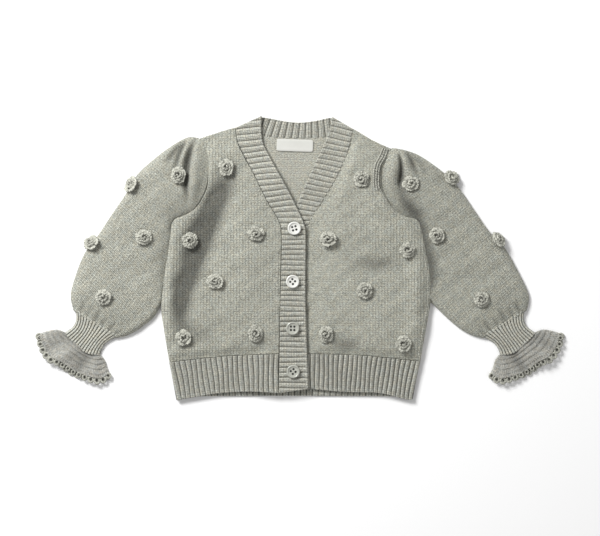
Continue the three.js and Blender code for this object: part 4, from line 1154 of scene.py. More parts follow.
@dataclass
class Fronts:
    """The two front panels with their ribbed hems."""

    grid: float = 1.4
    side_room: float = 14.0
    shoulder_room: float = 20.0
    hem_room: float = 9.0
    placket_room: float = 26.0
    width: float = 110.0
    length: float = 225.0
    hem_length: float = 36.0
    hem_courses: float = 38.0 / COURSE
    edge_radius: float = 1.3
    end_radius: float = 0.5
    wander: float = 0.07
    full_shade: float = 3.7
    waves: Unevenness = field(default_factory=Unevenness)
    right_folds: tuple[Fold, ...] = (
        Fold((-123, 36), (-132, -14), (-132, -86), 4.2, 3.4),
        Fold((-72, 84), (-87, 48), (-106, 10), 12.5, -5.8),
        Fold((-97, 26), (-108, -4), (-119, -46), 12, -5.2),
        Fold((-118, -26), (-122, -56), (-117, -84), 9, -3.2),
        Fold((-46, 62), (-40, 10), (-50, -36), 24, 2.2),
        Fold((-96, -40), (-80, -56), (-60, -64), 16, 1.6),
        Fold((-110, -70), (-100, -80), (-84, -84), 9, -1.4),
        Fold((-84, 108), (-78, 92), (-80, 72), 10, 1.2),
    )
    left_folds: tuple[Fold, ...] = (
        Fold((40, 28), (70, 22), (98, 14), 15, 2.6),
        Fold((52, -2), (76, -9), (102, -5), 8.0, -1.9),
        Fold((36, -86), (46, -88), (56, -84), 7, -2.2),
        Fold((116, 22), (121, -30), (114, -88), 8, 3.0),
        Fold((60, 104), (70, 88), (68, 62), 10, 1.2),
        Fold((66, 70), (84, 50), (104, 34), 17, 3.0),
        Fold((66, -40), (84, -56), (78, -84), 14, 1.8),
    )

    def build(self, room: Workroom) -> None:
        """Makes both fronts and their hems."""
        self.right(room)
        self.left(room)
        self.hem_right(room)
        self.hem_left(room)

    def puff(self, u: np.ndarray, v: np.ndarray) -> np.ndarray:
        """Loft of the body over its seams: it rises from the side, the shoulder and the hem."""
        side = ramp(u * self.width, -5, self.side_room)
        shoulder = ramp(v * self.length, 0, self.shoulder_room)
        lowest = HEM_LIFT / BODY_LOFT
        hem = lowest + (1 - lowest) * ramp((1 - v) * self.length, 0, self.hem_room)
        return BODY_LOFT * side * shoulder * hem

    def panel(self, room: Workroom, name: str, node: str, plan: Patch, folds: Sequence[Fold],
              height: Callable) -> None:
        """Makes one front.

        Args:
            room: Where pieces are made.
            name: The piece's name.
            node: The solid that it stands for.
            plan: Its patch of the plan.
            folds: Its folds.
            height: Height over the seams' height, from places, u and v.
        """
        panel = Panel(plan, with_edges(self.width, self.edge_radius, self.grid),
                      with_edges(self.length, self.end_radius, self.grid), self.edge_radius, self.end_radius)
        u, v, places = panel.places()
        top = LAID + at_least(height(places, u, v), -0.9) + self.waves.rise(places)
        under = np.maximum(top - CLOTH, LAYER)
        top = np.maximum(top, under + THINNEST)
        # The folds' troughs get painted shade
        shell = panel.shell(top, under, knit_stitches(places), crease_shade(folds, places, self.full_shade))
        piece = room.make(name, shell, Finish.KNIT, [node])
        room.cloth(piece, "back_knit", panel.flat())

    def right(self, room: Workroom) -> None:
        """The right front, which rises to the button band that lies over the left one."""
        edge = moved([*BAND_RIGHT_OUTER[:-1], (-20.4, -95.5)], SEAM)
        plan = Patch(SHOULDER_RIGHT, HEM_TOP_RIGHT, [*ARMHOLE_RIGHT, *SIDE_RIGHT], edge)

        def height(places: np.ndarray, u: np.ndarray, v: np.ndarray) -> np.ndarray:
            """The body's puff and folds, or the rise to the placket where that is higher."""
            body = self.puff(u, v) + rise_of(self.right_folds, places)
            return at_least(body, placket_rise(places[..., 0]) * ramp(places[..., 1], 105, 45))

        self.panel(room, "front_right_knit", "front_right", plan, self.right_folds, height)

    def left(self, room: Workroom) -> None:
        """The left front, whose edge runs under the button band."""
        edge = moved([*BAND_LEFT_OUTER[:-1], (5, -95.5)], TUCK)
        plan = Patch(SHOULDER_LEFT, HEM_TOP_LEFT, [*ARMHOLE_LEFT, *SIDE_LEFT], edge)

        def height(places: np.ndarray, u: np.ndarray, v: np.ndarray) -> np.ndarray:
            """The body's puff and folds, both fading towards the placket."""
            puff = self.puff(u, v) * ramp((1 - u) * self.width, 0, self.placket_room)
            return puff + rise_of(self.left_folds, places) * ramp(places[..., 0], 12, 30)

        self.panel(room, "front_left_knit", "front_left", plan, self.left_folds, height)

    def hem(self, room: Workroom, name: str, node: str, plan: Patch, ribs: int, rise: Callable) -> None:
        """Makes the hem of one front.

        Args:
            room: Where pieces are made.
            name: The piece's name.
            node: The solid that it stands for.
            plan: Its patch of the plan.
            ribs: Number of its ribs.
            rise: Height of its cloth over the seams' height, by x.
        """
        panel = Panel(plan, with_edges(self.width, 0.9, 0.5), with_edges(self.hem_length, 1.0, 1.4), 1.2, 1.0)
        u, v, places = panel.places()
        phase = u * ribs + self.wander * np.sin(v * 5.0 + 0.9 * u * ribs)
        base = LAID + rise(places[..., 0])
        edge = ramp(v, 1.0, 0.9)
        ribbing = RIB["hem"] * (1 - edge) * 0.6 + edge * rib_height(phase, RIB["hem"], 1.2, 0.25)
        top = base + ribbing + HEM_LIFT * ramp(v, 0.3, 0.0)
        stitches = np.stack([phase, v * self.hem_courses], axis=-1)
        piece = room.make(name, panel.shell(top, base - CLOTH, stitches), Finish.RIBBING, [node])
        room.cloth(piece, "hem_back_rib", panel.flat())

    def hem_right(self, room: Workroom) -> None:
        """The right front's hem, which rises to the button band as its panel does."""
        end = shifted([(-20.4, -95.8), (-21, -134.8)], -SEAM, 0)
        plan = Patch(shifted(HEM_TOP_RIGHT, 0, HEM_TUCK), HEM_EDGE_RIGHT, HEM_SIDE_RIGHT, end)
        self.hem(room, "hem_front_right_rib", "hem_front_right", plan, RIBS["hem_right"], placket_rise)

    def hem_left(self, room: Workroom) -> None:
        """The left front's hem."""
        inner = [(5.2, -95.8), (6, -130.2)]
        plan = Patch(shifted(HEM_TOP_LEFT, 0, HEM_TUCK), HEM_EDGE_LEFT, HEM_SIDE_LEFT, inner)
        self.hem(room, "hem_front_left_rib", "hem_front_left", plan, RIBS["hem_left"], lambda x: 0 * x)


def placket_rise(x: np.ndarray) -> np.ndarray:
    """The height that the right front has where it joins the button band."""
    return PLACKET_LOFT * ramp(x, -62, -26)


@dataclass
class Bands:
    """The two ribbed button bands: the right one lies over the left one from the first button down.

    At the shoulders the ribs lean, by a share of the band's length that fades down the band.
    """

    width: float = 25.0
    length: float = 285.0
    tilt: tuple[float, float] = (0.14, -0.24)
    tilt_from: tuple[float, float] = (30.0, 60.0)
    beyond: float = 0.06
    wander: float = 0.06
    shown: float = 0.43
    crowding: float = 0.22

    def build(self, room: Workroom) -> None:
        """Makes both bands."""
        right_ends = [[BAND_RIGHT_OUTER[end], BAND_RIGHT_INNER[end]] for end in (0, -1)]
        right = Patch(right_ends[0], right_ends[1], BAND_RIGHT_OUTER, BAND_RIGHT_INNER)
        self.band(room, "right", right, RIBS["band_right"], self.tilt[0], (BAND_AT_NECK, BAND_OVER, 112, 62))
        left_ends = [[BAND_LEFT_INNER[end], BAND_LEFT_OUTER[end]] for end in (0, -1)]
        left = Patch(left_ends[0], left_ends[1], BAND_LEFT_INNER, BAND_LEFT_OUTER)
        ribs = RIBS["band_left"] / self.shown
        self.band(room, "left", left, ribs, self.tilt[1], (LAYER, BAND_AT_NECK, 96, 114))

    def rib_number(self, plan: Patch, v: np.ndarray, places: np.ndarray, tilt: float) -> np.ndarray:
        """Where each place lies along the ribs, as a share of the band's length.

        Ribs lie level on the garment, tilted over the V of the neck. So a place has the share of the
        band's middle line that lies at its own height, less the tilt. Below the V the ribs are closer.

        Args:
            plan: The band's plan.
            v: The grid's v.
            places: The grid's places.
            tilt: Rise of the ribs over the V, for each millimetre across.

        Returns:
            The shares.
        """
        shares = np.linspace(-self.beyond, 1 + self.beyond, 400)
        inside = np.clip(shares, 0, 1)
        middle = plan(np.full_like(shares, 0.5), inside)[:, 1] - (shares - inside) * self.length
        across = places[..., 0] - plan(np.full_like(v, 0.5), v)[..., 0]
        level = places[..., 1] - across * tilt * ramp(places[..., 1], *self.tilt_from)
        share = np.interp(-level, -middle, shares)
        return share + self.crowding * np.maximum(share - self.shown, 0)

    def band(self, room: Workroom, side: str, plan: Patch, ribs: float, tilt: float,
             lying: tuple[float, float, float, float]) -> None:
        """Makes one band.

        Args:
            room: Where pieces are made.
            side: right or left.
            plan: Its patch of the plan, from the neck down.
            ribs: Number of ribs on all its length.
            tilt: Rise of the ribs over the V, for each millimetre across.
            lying: Heights of its underside at two places along y, and those two places.
        """
        panel = Panel(plan, with_edges(self.width, 1.2, 1.3), with_edges(self.length, 1.2, 0.55), 1.2, 1.2)
        u, v, places = panel.places()
        low, high, from_y, to_y = lying
        under = low + (high - low) * ramp(places[..., 1], from_y, to_y)
        phase = self.rib_number(plan, v, places, tilt) * ribs
        phase = phase + self.wander * np.sin(0.8 * phase + 3 * u)
        folded_edge = u if side == "left" else 1 - u
        plain = ramp(folded_edge * self.width, 3.0, 1.0)
        ribbing = RIB["band"] * 0.8 * plain + (1 - plain) * rib_height(phase, RIB["band"], 1.0)
        top = under + CLOTH + ribbing
        stitches = np.stack([phase, u * self.width / COURSE], axis=-1)
        shell = panel.shell(top, under, stitches)
        piece = room.make(f"band_{side}_rib", shell, Finish.BAND, [f"band_{side}"])
        room.cloth(piece, "front_left_knit", panel.flat())


# Short gathers of the left sleeve over its cuff
CUFF_GATHERS = (
    Fold((215, -44), (218, -51), (222, -58), 1.9, -1.7),
    Fold((208, -49), (212, -56), (215, -63), 1.7, -1.3),
    Fold((199, -52), (204, -61), (208, -68), 1.9, -1.9),
    Fold((193, -60), (197, -67), (201, -72), 1.7, -1.3),
    Fold((184, -64), (189, -71), (194, -76), 1.9, -1.7),
    Fold((179, -72), (183, -76), (188, -79), 1.7, -1.2),
)


@dataclass
class Sleeves:
    """The balloon sleeves: gathered heads, soft pleats under the shoulder and gathers at the cuff."""

    around: int = 140
    rings: int = 150
    edge_radius: tuple[float, float] = (9.0, 4.5)
    cuff_height: float = 4.5
    beside: float = 0.6
    # Strength of the painted shadow of the body on each sleeve beside it, for the right and the left sleeve
    shadow: tuple[float, float] = (0.3, 1.0)
    waves: Unevenness = field(default_factory=Unevenness)
    right_folds: tuple[Fold, ...] = (
        Fold((-104, 113), (-99, 84), (-114, 50), 8.5, 4.0),
        Fold((-104.5, 118), (-118, 92), (-111, 52), 3.6, -6.4),
        Fold((-108, 117), (-119, 104), (-119, 86), 3.4, 2.2),
        Fold((-113, 116), (-120, 106), (-124, 90), 2.6, -3.8),
        Fold((-118, 114), (-125, 108), (-132, 95), 2.8, -2.6),
        *(fold.mirrored() for fold in CUFF_GATHERS),
    )
    left_folds: tuple[Fold, ...] = (
        Fold((95, 105), (84, 76), (108, 48), 7.5, 3.8),
        Fold((99, 105), (103, 90), (99, 72), 1.8, -5.2),
        Fold((100, 85), (93, 56), (123, 40), 6.5, -4.6),
        Fold((101, 107), (107, 96), (112, 82), 3.2, 2.0),
        Fold((105, 107), (112, 97), (117, 82), 2.8, -3.0),
        Fold((112, 104), (120, 96), (126, 84), 3.0, -1.4),
        *CUFF_GATHERS,
    )

    def build(self, room: Workroom) -> None:
        """Makes both sleeves."""
        self.sleeve(room, "right", ARMHOLE_RIGHT, SIDE_RIGHT, SLEEVE_OUTER_RIGHT, mirrored(SLEEVE_INNER),
                    self.right_folds, -TUCK, -38)
        self.sleeve(room, "left", ARMHOLE_LEFT, SIDE_LEFT, SLEEVE_OUTER_LEFT, SLEEVE_INNER,
                    self.left_folds, TUCK, 38)

    def sleeve(self, room: Workroom, side: str, armhole: Rows, body_side: Rows, outer: Rows, inner: Rows,
               folds: Sequence[Fold], move: float, turn: float) -> None:
        """Makes one sleeve.

        Args:
            room: Where pieces are made.
            side: right or left.
            armhole: Rows of the armhole.
            body_side: Rows of the body's side, which the sleeve lies against.
            outer: Rows of the sleeve's outer edge.
            inner: Rows of the inner edge where it is clear of the body.
            folds: Folds of the sleeve's upper face.
            move: Distance of the sleeve from the body's outline.
            turn: Angle of the wales from +Y, in degrees.
        """
        seam = Curve(moved([*armhole, *body_side], move)).finely()
        underarm = Curve.FINER * (len(armhole) - 1)
        leaves = underarm + Curve.FINER * SLEEVE_LEAVES_SIDE
        plan = SleevePlan(outer, [outer[0], *seam[1 : underarm + 1]], [*seam[underarm:leaves], *inner])
        stops = np.linspace(0, 1, self.rings) ** 1.15
        tube = Tube(plan, stops, self.around, THINNEST, self.edge_radius, beside=self.beside)

        def top(places: np.ndarray, u: np.ndarray, v: np.ndarray, angle: np.ndarray) -> np.ndarray:
            """The balloon's crown, with its folds."""
            crown = SLEEVE_LOFT * np.maximum(4 * u * (1 - u), 0) ** 0.6
            crown = crown * ramp(v, -0.03, 0.06)
            uneven = self.waves.rise(places) * ramp(np.minimum(u, 1 - u), 0, 0.1)
            body = LAID + at_least(crown + (rise_of(folds, places) + uneven) * ramp(v, -0.02, 0.05), -1.4)
            at_cuff = self.cuff_height + 0.9 * np.sin(np.pi * u) + 0.4 * rise_of(folds, places)
            return body + (at_cuff - body) * ramp(v, 0.84, 1)

        outer_skin = tube.skin(0, top, 0.0)
        inner_skin = tube.skin(THINNEST, lambda *at: top(*at) - THINNEST, THINNEST)
        _, u, v, width = tube.grid(0)
        # Painted shade in the folds' troughs, and painted shadow of the body on the sleeve's inner edge beside
        # it
        beside = ramp((1 - u) * width, 28, 2) * ramp(v, 0.62, 0.4) * ramp(v, 0.0, 0.1)
        hollow = np.maximum(crease_shade(folds, outer_skin[..., :2]), self.shadow[side == "left"] * beside)
        shell = tube.shell(outer_skin, inner_skin, tube_stitches(outer_skin, turn), hollow)
        piece = room.make(f"sleeve_{side}_knit", shell, Finish.KNIT, [f"sleeve_{side}"])
        room.cloth(piece, "surface", tube.flat())


@dataclass
class Wrists:
    """The ribbed cuffs, and the crocheted ruffles with a row of picots along each layer's edge."""

    cuff_wall: float = 1.6
    cuff_radius: tuple[float, float] = (5.0, 5.0)
    cuff_loft: float = 0.9
    cuff_tuck: tuple[float, float] = (-1.6, 2.6)
    cuff_rings: int = 22
    cuff_length: float = 26.0
    rib_steps: int = 12
    ruffle_rings: int = 60
    ruffle_around: int = 150
    ruffle_wall: float = 1.4
    ruffle_radius: tuple[float, float] = (3.4, 3.4)
    ruffle_loft: float = 1.0
    ruffle_ridges: int = 5
    ruffle_posts: int = 76
    edge_share: float = 0.86
    under_longer: float = 0.05
    picots: int = 15
    picot_reach: float = 0.075
    picot_radius: float = 2.05
    picot_yarn: float = 1.05
    folds: tuple[Fold, ...] = (
        Fold((220, -88), (234, -98), (246, -103), 5.5, 3.6),
        Fold((211, -94), (219, -106), (228, -117), 5.0, -2.8),
        Fold((235, -80), (248, -86), (258, -94), 4, -1.6),
        Fold((203, -100), (204, -110), (203, -122), 4.0, 2.0),
    )

    def build(self, room: Workroom) -> None:
        """Makes the cuff, ruffle and picots of both arms."""
        for side, sided in (("right", mirrored), ("left", as_laid)):
            self.cuff(room, side, sided)
            self.ruffle(room, side, sided)

    def cuff(self, room: Workroom, side: str, sided: Callable) -> None:
        """Makes one cuff: ribs run along it and narrow with it."""
        tucked = sided(shifted(CUFF_SEAM, *self.cuff_tuck))
        outer_side, inner_side = sided(CUFF_OUTER[1:]), sided(CUFF_INNER[1:])
        plan = Patch(tucked, sided(RUFFLE_SEAM), [tucked[0], *outer_side], [tucked[-1], *inner_side])
        around = self.rib_steps * RIBS["cuff"]
        tube = Tube(plan, np.linspace(0, 1, self.cuff_rings), around, self.cuff_wall, self.cuff_radius)
        base = self.cuff_wall + CLOTH

        def top(places: np.ndarray, u: np.ndarray, v: np.ndarray, angle: np.ndarray) -> np.ndarray:
            """The cuff's crown, ribbed by the angle round it."""
            phase = u * RIBS["cuff"] / 2
            fading = ramp(v, 0, 0.06) * ramp(v, 1, 0.94)
            ribbing = rib_height(phase, RIB["cuff"], 1.0, 0.24)
            return base + self.cuff_loft * np.sin(np.pi * u) + RIB["cuff"] + fading * (ribbing - RIB["cuff"])

        outer = tube.skin(0, top, 0.0)
        within = base - 1 - self.cuff_wall / 2
        inner = tube.skin(self.cuff_wall,
                          lambda places, u, v, angle: within + self.cuff_loft * np.sin(np.pi * u),
                          self.cuff_wall)
        turn = np.linspace(0, 2 * np.pi, tube.around + 1)
        phase = (1 - np.cos(turn)) / 4 * RIBS["cuff"]
        phase = np.where(turn > np.pi, RIBS["cuff"] - phase, phase)
        courses = tube.stops[:, None] * self.cuff_length / COURSE
        shell = tube.shell(outer, inner, np.stack(np.broadcast_arrays(phase[None, :], courses), axis=-1))
        piece = room.make(f"cuff_{side}_rib", shell, Finish.CUFF, [f"cuff_{side}"])
        room.cloth(piece, "surface", tube.flat())

    def ruffle(self, room: Workroom, side: str, sided: Callable) -> None:
        """Makes one ruffle, with rows of crochet round it and picots along its two edges."""
        seam = sided(shifted(RUFFLE_SEAM, -TUCK, TUCK))
        outer_edge, inner_edge = sided(RUFFLE_OUTER[1:]), sided(RUFFLE_INNER[1:])
        plan = Patch(seam, sided(RUFFLE_EDGE), [seam[0], *outer_edge], [seam[-1], *inner_edge])
        stops = np.linspace(0, self.edge_share, self.ruffle_rings)
        tube = Tube(plan, stops, self.ruffle_around, self.ruffle_wall, self.ruffle_radius, self.under_longer)
        folds = [fold.mirrored() if side == "right" else fold for fold in self.folds]

        def wave(places: np.ndarray, u: np.ndarray) -> np.ndarray:
            """The ruffle's soft waves over its two walls."""
            return at_least(self.ruffle_loft * np.sin(np.pi * u) + rise_of(folds, places), 0.0)

        def top(places: np.ndarray, u: np.ndarray, v: np.ndarray, angle: np.ndarray) -> np.ndarray:
            """The upper wall, ridged by its rows of crochet."""
            rows = v / self.edge_share * self.ruffle_ridges + 0.5
            ridges = rib_height(rows, RIB["ruffle"], 0.6, 0.27) - RIB["ruffle"]
            strength = 1 - 0.5 * ramp(v, 0.5, 0.8)
            return 2 * self.ruffle_wall + CLOTH / 2 + wave(places, u) + RIB["ruffle"] + ridges * strength

        outer = tube.skin(0, top, 0.0)
        inner = tube.skin(self.ruffle_wall, lambda places, u, v, angle: self.ruffle_wall + CLOTH / 2
                          + wave(places, u), self.ruffle_wall)
        turn = np.linspace(0, 2 * np.pi, tube.around + 1)
        posts = (1 - np.cos(turn)) / 4 * self.ruffle_posts
        posts = np.where(turn > np.pi, self.ruffle_posts - posts, posts)
        rows = tube.stops[:, None] / self.edge_share * self.ruffle_ridges
        stitches = np.stack(np.broadcast_arrays(posts[None, :], rows), axis=-1)
        # Painted shade in the troughs of the ruffle's folds
        shell = tube.shell(outer, inner, stitches, crease_shade(folds, outer[..., :2], 5.0))
        piece = room.make(f"ruffle_{side}_crochet", shell, Finish.RUFFLE, [f"ruffle_{side}"])
        picots = self.picot_rows(room, side, plan, top)
        room.attach(picots, piece.name)
        room.cloth(piece, "surface", tube.flat())

    def picot_rows(self, room: Workroom, side: str, plan: Patch, top: Callable) -> bpy.types.Object:
        """Makes the picots: small rings of yarn, one row along each layer's edge.

        Each ring is a circle of yarn, (R + r cos b)(cos a, sin a) with r sin b up, laid at its place on
        the edge and turned to it.

        Args:
            room: Where pieces are made.
            side: right or left.
            plan: The ruffle's plan.
            top: Height of the ruffle's upper face.

        Returns:
            The picots' object.
        """
        around = np.linspace(0, 2 * np.pi, 15)
        section = np.linspace(0, 2 * np.pi, 8)
        a, b = np.meshgrid(around, section, indexing="ij")
        reach = self.picot_radius + self.picot_yarn * np.cos(b)
        ring = np.stack([reach * np.cos(a), 1.15 * reach * np.sin(a), self.picot_yarn * np.sin(b)], axis=-1)
        # Painted shade: a little on all the yarn, more on the inner side of each loop
        hollow = 0.2 + 0.5 * ramp(-np.cos(b), -0.2, 0.9)
        shells = []
        for layer in (0, 1):
            share = (np.arange(self.picots) + 0.35 + 0.3 * layer) / self.picots
            edge = np.full_like(share, self.edge_share + self.picot_reach)
            places = plan(share, edge)
            ahead = places - plan(share, edge - 0.05)
            ahead /= np.linalg.norm(ahead, axis=-1, keepdims=True)
            upper = top(places, share, edge, share) - self.ruffle_wall * 0.5
            level = upper if layer else np.full_like(upper, self.ruffle_wall * 0.5)
            wobble = 0.6 * np.sin(7.0 * share * self.picots + layer)
            places = places + 0.5 * wobble[:, None] * ahead
            for place, run, height, tip in zip(places, ahead, level, wobble):
                loop = ring * (1 + 0.3 * tip)
                turned = np.stack([
                    place[0] + loop[..., 0] * run[1] + loop[..., 1] * run[0],
                    place[1] - loop[..., 0] * run[0] + loop[..., 1] * run[1],
                    np.maximum(height + loop[..., 2] + tip * loop[..., 1] * 0.3, 0.02 + 0 * loop[..., 2]),
                ], axis=-1)
                shells.append(Shell.from_grid(turned, hollow=hollow))
        return room.make(f"picots_{side}", Shell.joined(shells), Finish.CROCHET)


@dataclass
class Rosettes:
    """Crochet rosettes: a strip wound into a heart, over a row of broad petals on a round base."""

    count: int = 22
    windings: float = 1.75
    along: int = 150
    section: int = 16
    yarn: float = 2.7
    post: float = 2.3
    layers: tuple[float, ...] = (0.0, 0.4, 0.9, 1.3, 1.75)
    top_reach: tuple[float, ...] = (0.8, 2.2, 4.3, 5.2, 5.9)
    base_reach: tuple[float, ...] = (0.4, 1.0, 2.2, 3.0, 3.6)
    top_height: tuple[float, ...] = (5.2, 6.2, 5.6, 5.0, 4.2)
    petals: int = 5
    petal_at: float = 4.9
    petal_size: tuple[float, float, float] = (3.5, 4.5, 1.8)
    petal_height: float = 2.4
    roughness: float = 0.42
    seat_rise: float = 0.3
    grounds: tuple[str, ...] = (
        "front_right_knit", "front_left_knit", "sleeve_right_knit", "sleeve_left_knit",
    )

    def build(self, room: Workroom) -> None:
        """Makes each rosette on the cloth where its solid is."""
        bpy.context.view_layer.update()
        for number in range(1, self.count + 1):
            node = f"rosette_{number:02d}"
            shell = Shell.joined([self.strip(number), self.seat(), *self.petal_row(number)])
            shell.points = self.roughened(shell.points, number) * self.stretch(number)
            centre, axes = self.place(node)
            levels = {name: room.top_at(name, centre[0], centre[1]) or 0.0 for name in self.grounds}
            ground = max(levels, key=levels.get)
            centre[2] = max(centre[2], levels[ground] + self.seat_rise)
            shell.points = centre + shell.points @ axes
            room.attach(room.make(f"{node}_crochet", shell, Finish.CROCHET, [node]), ground)
            log.info("%s on %s: cloth at %.1f mm, base at %.1f mm", node, ground, levels[ground], centre[2])

    def roughened(self, points: np.ndarray, number: int) -> np.ndarray:
        """The points moved a little by crossed sine waves, so that no edge of the yarn runs smooth.

        Args:
            points: The rosette's points.
            number: The rosette's number, which shifts the waves.

        Returns:
            The moved points.
        """
        waves = np.array([[1.9, 0.7, 2.3], [-0.8, 2.2, 1.7], [2.6, -1.9, 0.6]])
        phase = points @ waves.T + number * np.array([1.0, 2.0, 3.0])
        return points + self.roughness * np.sin(phase) * np.cos(phase[:, [1, 2, 0]] * 0.7)

    @staticmethod
    def stretch(number: int) -> np.ndarray:
        """A rosette's slight stretch across and along, by a sine of its number."""
        wide = 1 + 0.07 * math.sin(5.0 * number)
        return np.array([wide, 2 - wide, 1 + 0.08 * math.sin(2.0 * number)])

    @staticmethod
    def place(node: str) -> tuple[np.ndarray, np.ndarray]:
        """Where a rosette's solid stands: its base centre, and its axes from its own vertices.

        The axis that the solid turns round is the one that its vertices spread along least.

        Args:
            node: The solid's name.

        Returns:
            The base centre in millimetres, and the three axes as rows.
        """
        mesh = frame["nodes"][node].data
        flat = np.empty(len(mesh.vertices) * 3, np.float32)
        mesh.vertices.foreach_get("co", flat)
        points = np.unique(np.round(flat.reshape(-1, 3) / MM, 3), axis=0).astype(float)
        centre = points.mean(axis=0)
        _, _, spread = np.linalg.svd(points - centre, full_matrices=False)
        up = spread[2] * math.copysign(1.0, spread[2][2])
        lowest = ((points - centre) @ up).min()
        across = np.cross([0.0, 1.0, 0.0], up)
        across /= np.linalg.norm(across)
        return centre + lowest * up, np.array([across, np.cross(up, across), up])

    def strip(self, number: int) -> Shell:
        """The wound strip: a profile carried along a spiral.

        Its radius and height at the base and at the lip come from the winding that it has reached. The
        profile leans out from base to lip, and the yarn's thickness swells at each post of the crochet.

        Args:
            number: The rosette's number, which turns and varies it.

        Returns:
            The closed strip.
        """
        start = 2.4 * number
        side = -1 if number % 3 == 0 else 1
        share = np.linspace(0, 1, self.along)
        winding = share * self.windings
        angle = 2 * np.pi * winding
        lip, base, tall = (np.interp(winding, self.layers, row) for row in
                           (self.top_reach, self.base_reach, self.top_height))
        lip = lip * (1 + 0.14 * share * np.sin(3 * angle + number) + 0.07 * np.sin(angle + 2 * number))
        tall = tall * (1 + 0.12 * np.sin(2 * angle + number))
        run = np.concatenate([[0], np.cumsum(np.diff(angle) * (lip[1:] + base[1:]) / 2)])
        post = 1 + 0.3 * np.cos(2 * np.pi * run / self.post)
        ends = np.sqrt(np.clip(np.minimum(share, 1 - share) * 20, 0, 1))
        turn = np.linspace(0, 2 * np.pi, self.section, endpoint=False)
        up = ((1 - np.cos(turn)) / 2)[None, :]
        half = (np.sign(np.sin(turn)) * np.abs(np.sin(turn)) ** 0.7)[None, :] / 2
        reach = base[:, None] + (lip - base)[:, None] * up**1.5
        level = tall[:, None] * (1 - (1 - up) ** 1.7)
        slope_out = (lip - base)[:, None] * 1.5 * up**0.5 + 1e-6
        slope_up = tall[:, None] * 1.7 * (1 - up) ** 0.7 + 1e-6
        steep = np.hypot(slope_out, slope_up)
        offset = self.yarn * half * (post * ends)[:, None]
        reach = reach - offset * slope_up / steep
        level = level + offset * slope_out / steep
        round_angle = (side * angle + start)[:, None]
        points = np.stack([reach * np.cos(round_angle), reach * np.sin(round_angle), level], axis=-1)
        tips = np.broadcast_to(points[[0, -1]].mean(axis=1, keepdims=True), (2, self.section, 3))
        points = np.concatenate([tips[:1], points, tips[1:]])
        # Painted shade, deepest at the strip's base, down between its windings
        hollow = np.broadcast_to((1 - up) ** 0.7, points.shape[:2])
        return Shell.from_grid(points, closed=True, hollow=hollow).outwards()

    def petal_row(self, number: int) -> list[Shell]:
        """The row of broad petals round the heart.

        Each petal is a flattened ball, dished in the middle and ribbed round its rim by the posts of
        the crochet, tipped up outwards by its own slight angle.

        Args:
            number: The rosette's number, which turns and varies it.

        Returns:
            The closed petals.
        """
        slope, turn = np.meshgrid(np.linspace(0, np.pi, 13), np.linspace(0, 2 * np.pi, 40, endpoint=False),
                                  indexing="ij")
        rim = np.sin(slope)
        ribbed = 1 + 0.09 * rim**2 * np.cos(11 * turn)
        level = np.cos(slope) - 0.5 * (1 - rim) ** 0.5 * (np.cos(slope) > 0)
        long, wide, thick = self.petal_size
        count = self.petals + number % 2
        petals = []
        for petal in range(count):
            vary = math.sin(7.0 * petal + 3.0 * number)
            heading = 2 * np.pi * (petal + 0.14 * vary) / count + 1.3 * number
            tip = math.radians(12 + 12 * vary)
            out = long * (1 + 0.12 * vary) * ribbed * rim * np.cos(turn)
            side = wide * ribbed * rim * np.sin(turn)
            rise = thick * level
            reach = self.petal_at + out * math.cos(tip) - rise * math.sin(tip)
            height = self.petal_height + 0.3 * vary + out * math.sin(tip) + rise * math.cos(tip)
            points = np.stack([reach * math.cos(heading) - side * math.sin(heading),
                               reach * math.sin(heading) + side * math.cos(heading), height], axis=-1)
            # Painted shade on the side of each petal that faces the heart, on its sides beside the next petals,
            # and on its underside
            inner = ramp(-np.cos(turn) * rim, -0.3, 0.7)
            beside = 0.6 * ramp(np.abs(np.sin(turn)) * rim, 0.7, 1.0)
            hollow = np.where(np.cos(slope) < 0.1, 0.45, np.maximum(inner, beside))
            petals.append(Shell.from_grid(points, closed=True, hollow=hollow).outwards())
        return petals

    def seat(self) -> Shell:
        """The round base under the petals: a low dome above and a flat underside, sunk into the cloth."""
        reach = np.array([0, 0.5, 0.85, 1.0, 0.85, 0]) * 5.6
        level = np.array([2.2, 2.1, 1.5, 0.4, -0.5, -0.5])
        angle = np.linspace(0, 2 * np.pi, 24, endpoint=False)
        grid = np.stack(np.broadcast_arrays(reach[:, None] * np.cos(angle), reach[:, None] * np.sin(angle),
                                            level[:, None]), axis=-1)
        # Painted shade: full on the dome, which lies under the petals, and a little on the underside
        hollow = np.where(grid[..., 2] > 0, 1.0, 0.3)
        return Shell.from_grid(grid, closed=True, hollow=hollow).outwards()


@dataclass(frozen=True)
class Row:
    """A row of raised stitches on a cloth piece, beside one of its outlines.

    Args:
        ground: The cloth piece.
        outline: Rows of the outline that it follows.
        inset: Its distance from the outline, to the right of the way that the outline runs.
        reach: The shares of the outline where it starts and ends.
        pitch: Distance from stitch to stitch.
        size: Half length, half width and half height of a stitch.
        slant: Turn of each stitch from the row, in degrees.
        finish: Finish of the stitches, or the near-black finish of beads that paint the shadow in the gaps
            between them.
    """

    ground: str
    outline: Rows
    inset: float
    reach: tuple[float, float]
    pitch: float = 2.3
    size: tuple[float, float, float] = (1.25, 0.75, 0.9)
    slant: float = 12.0
    finish: Finish = Finish.STITCHES


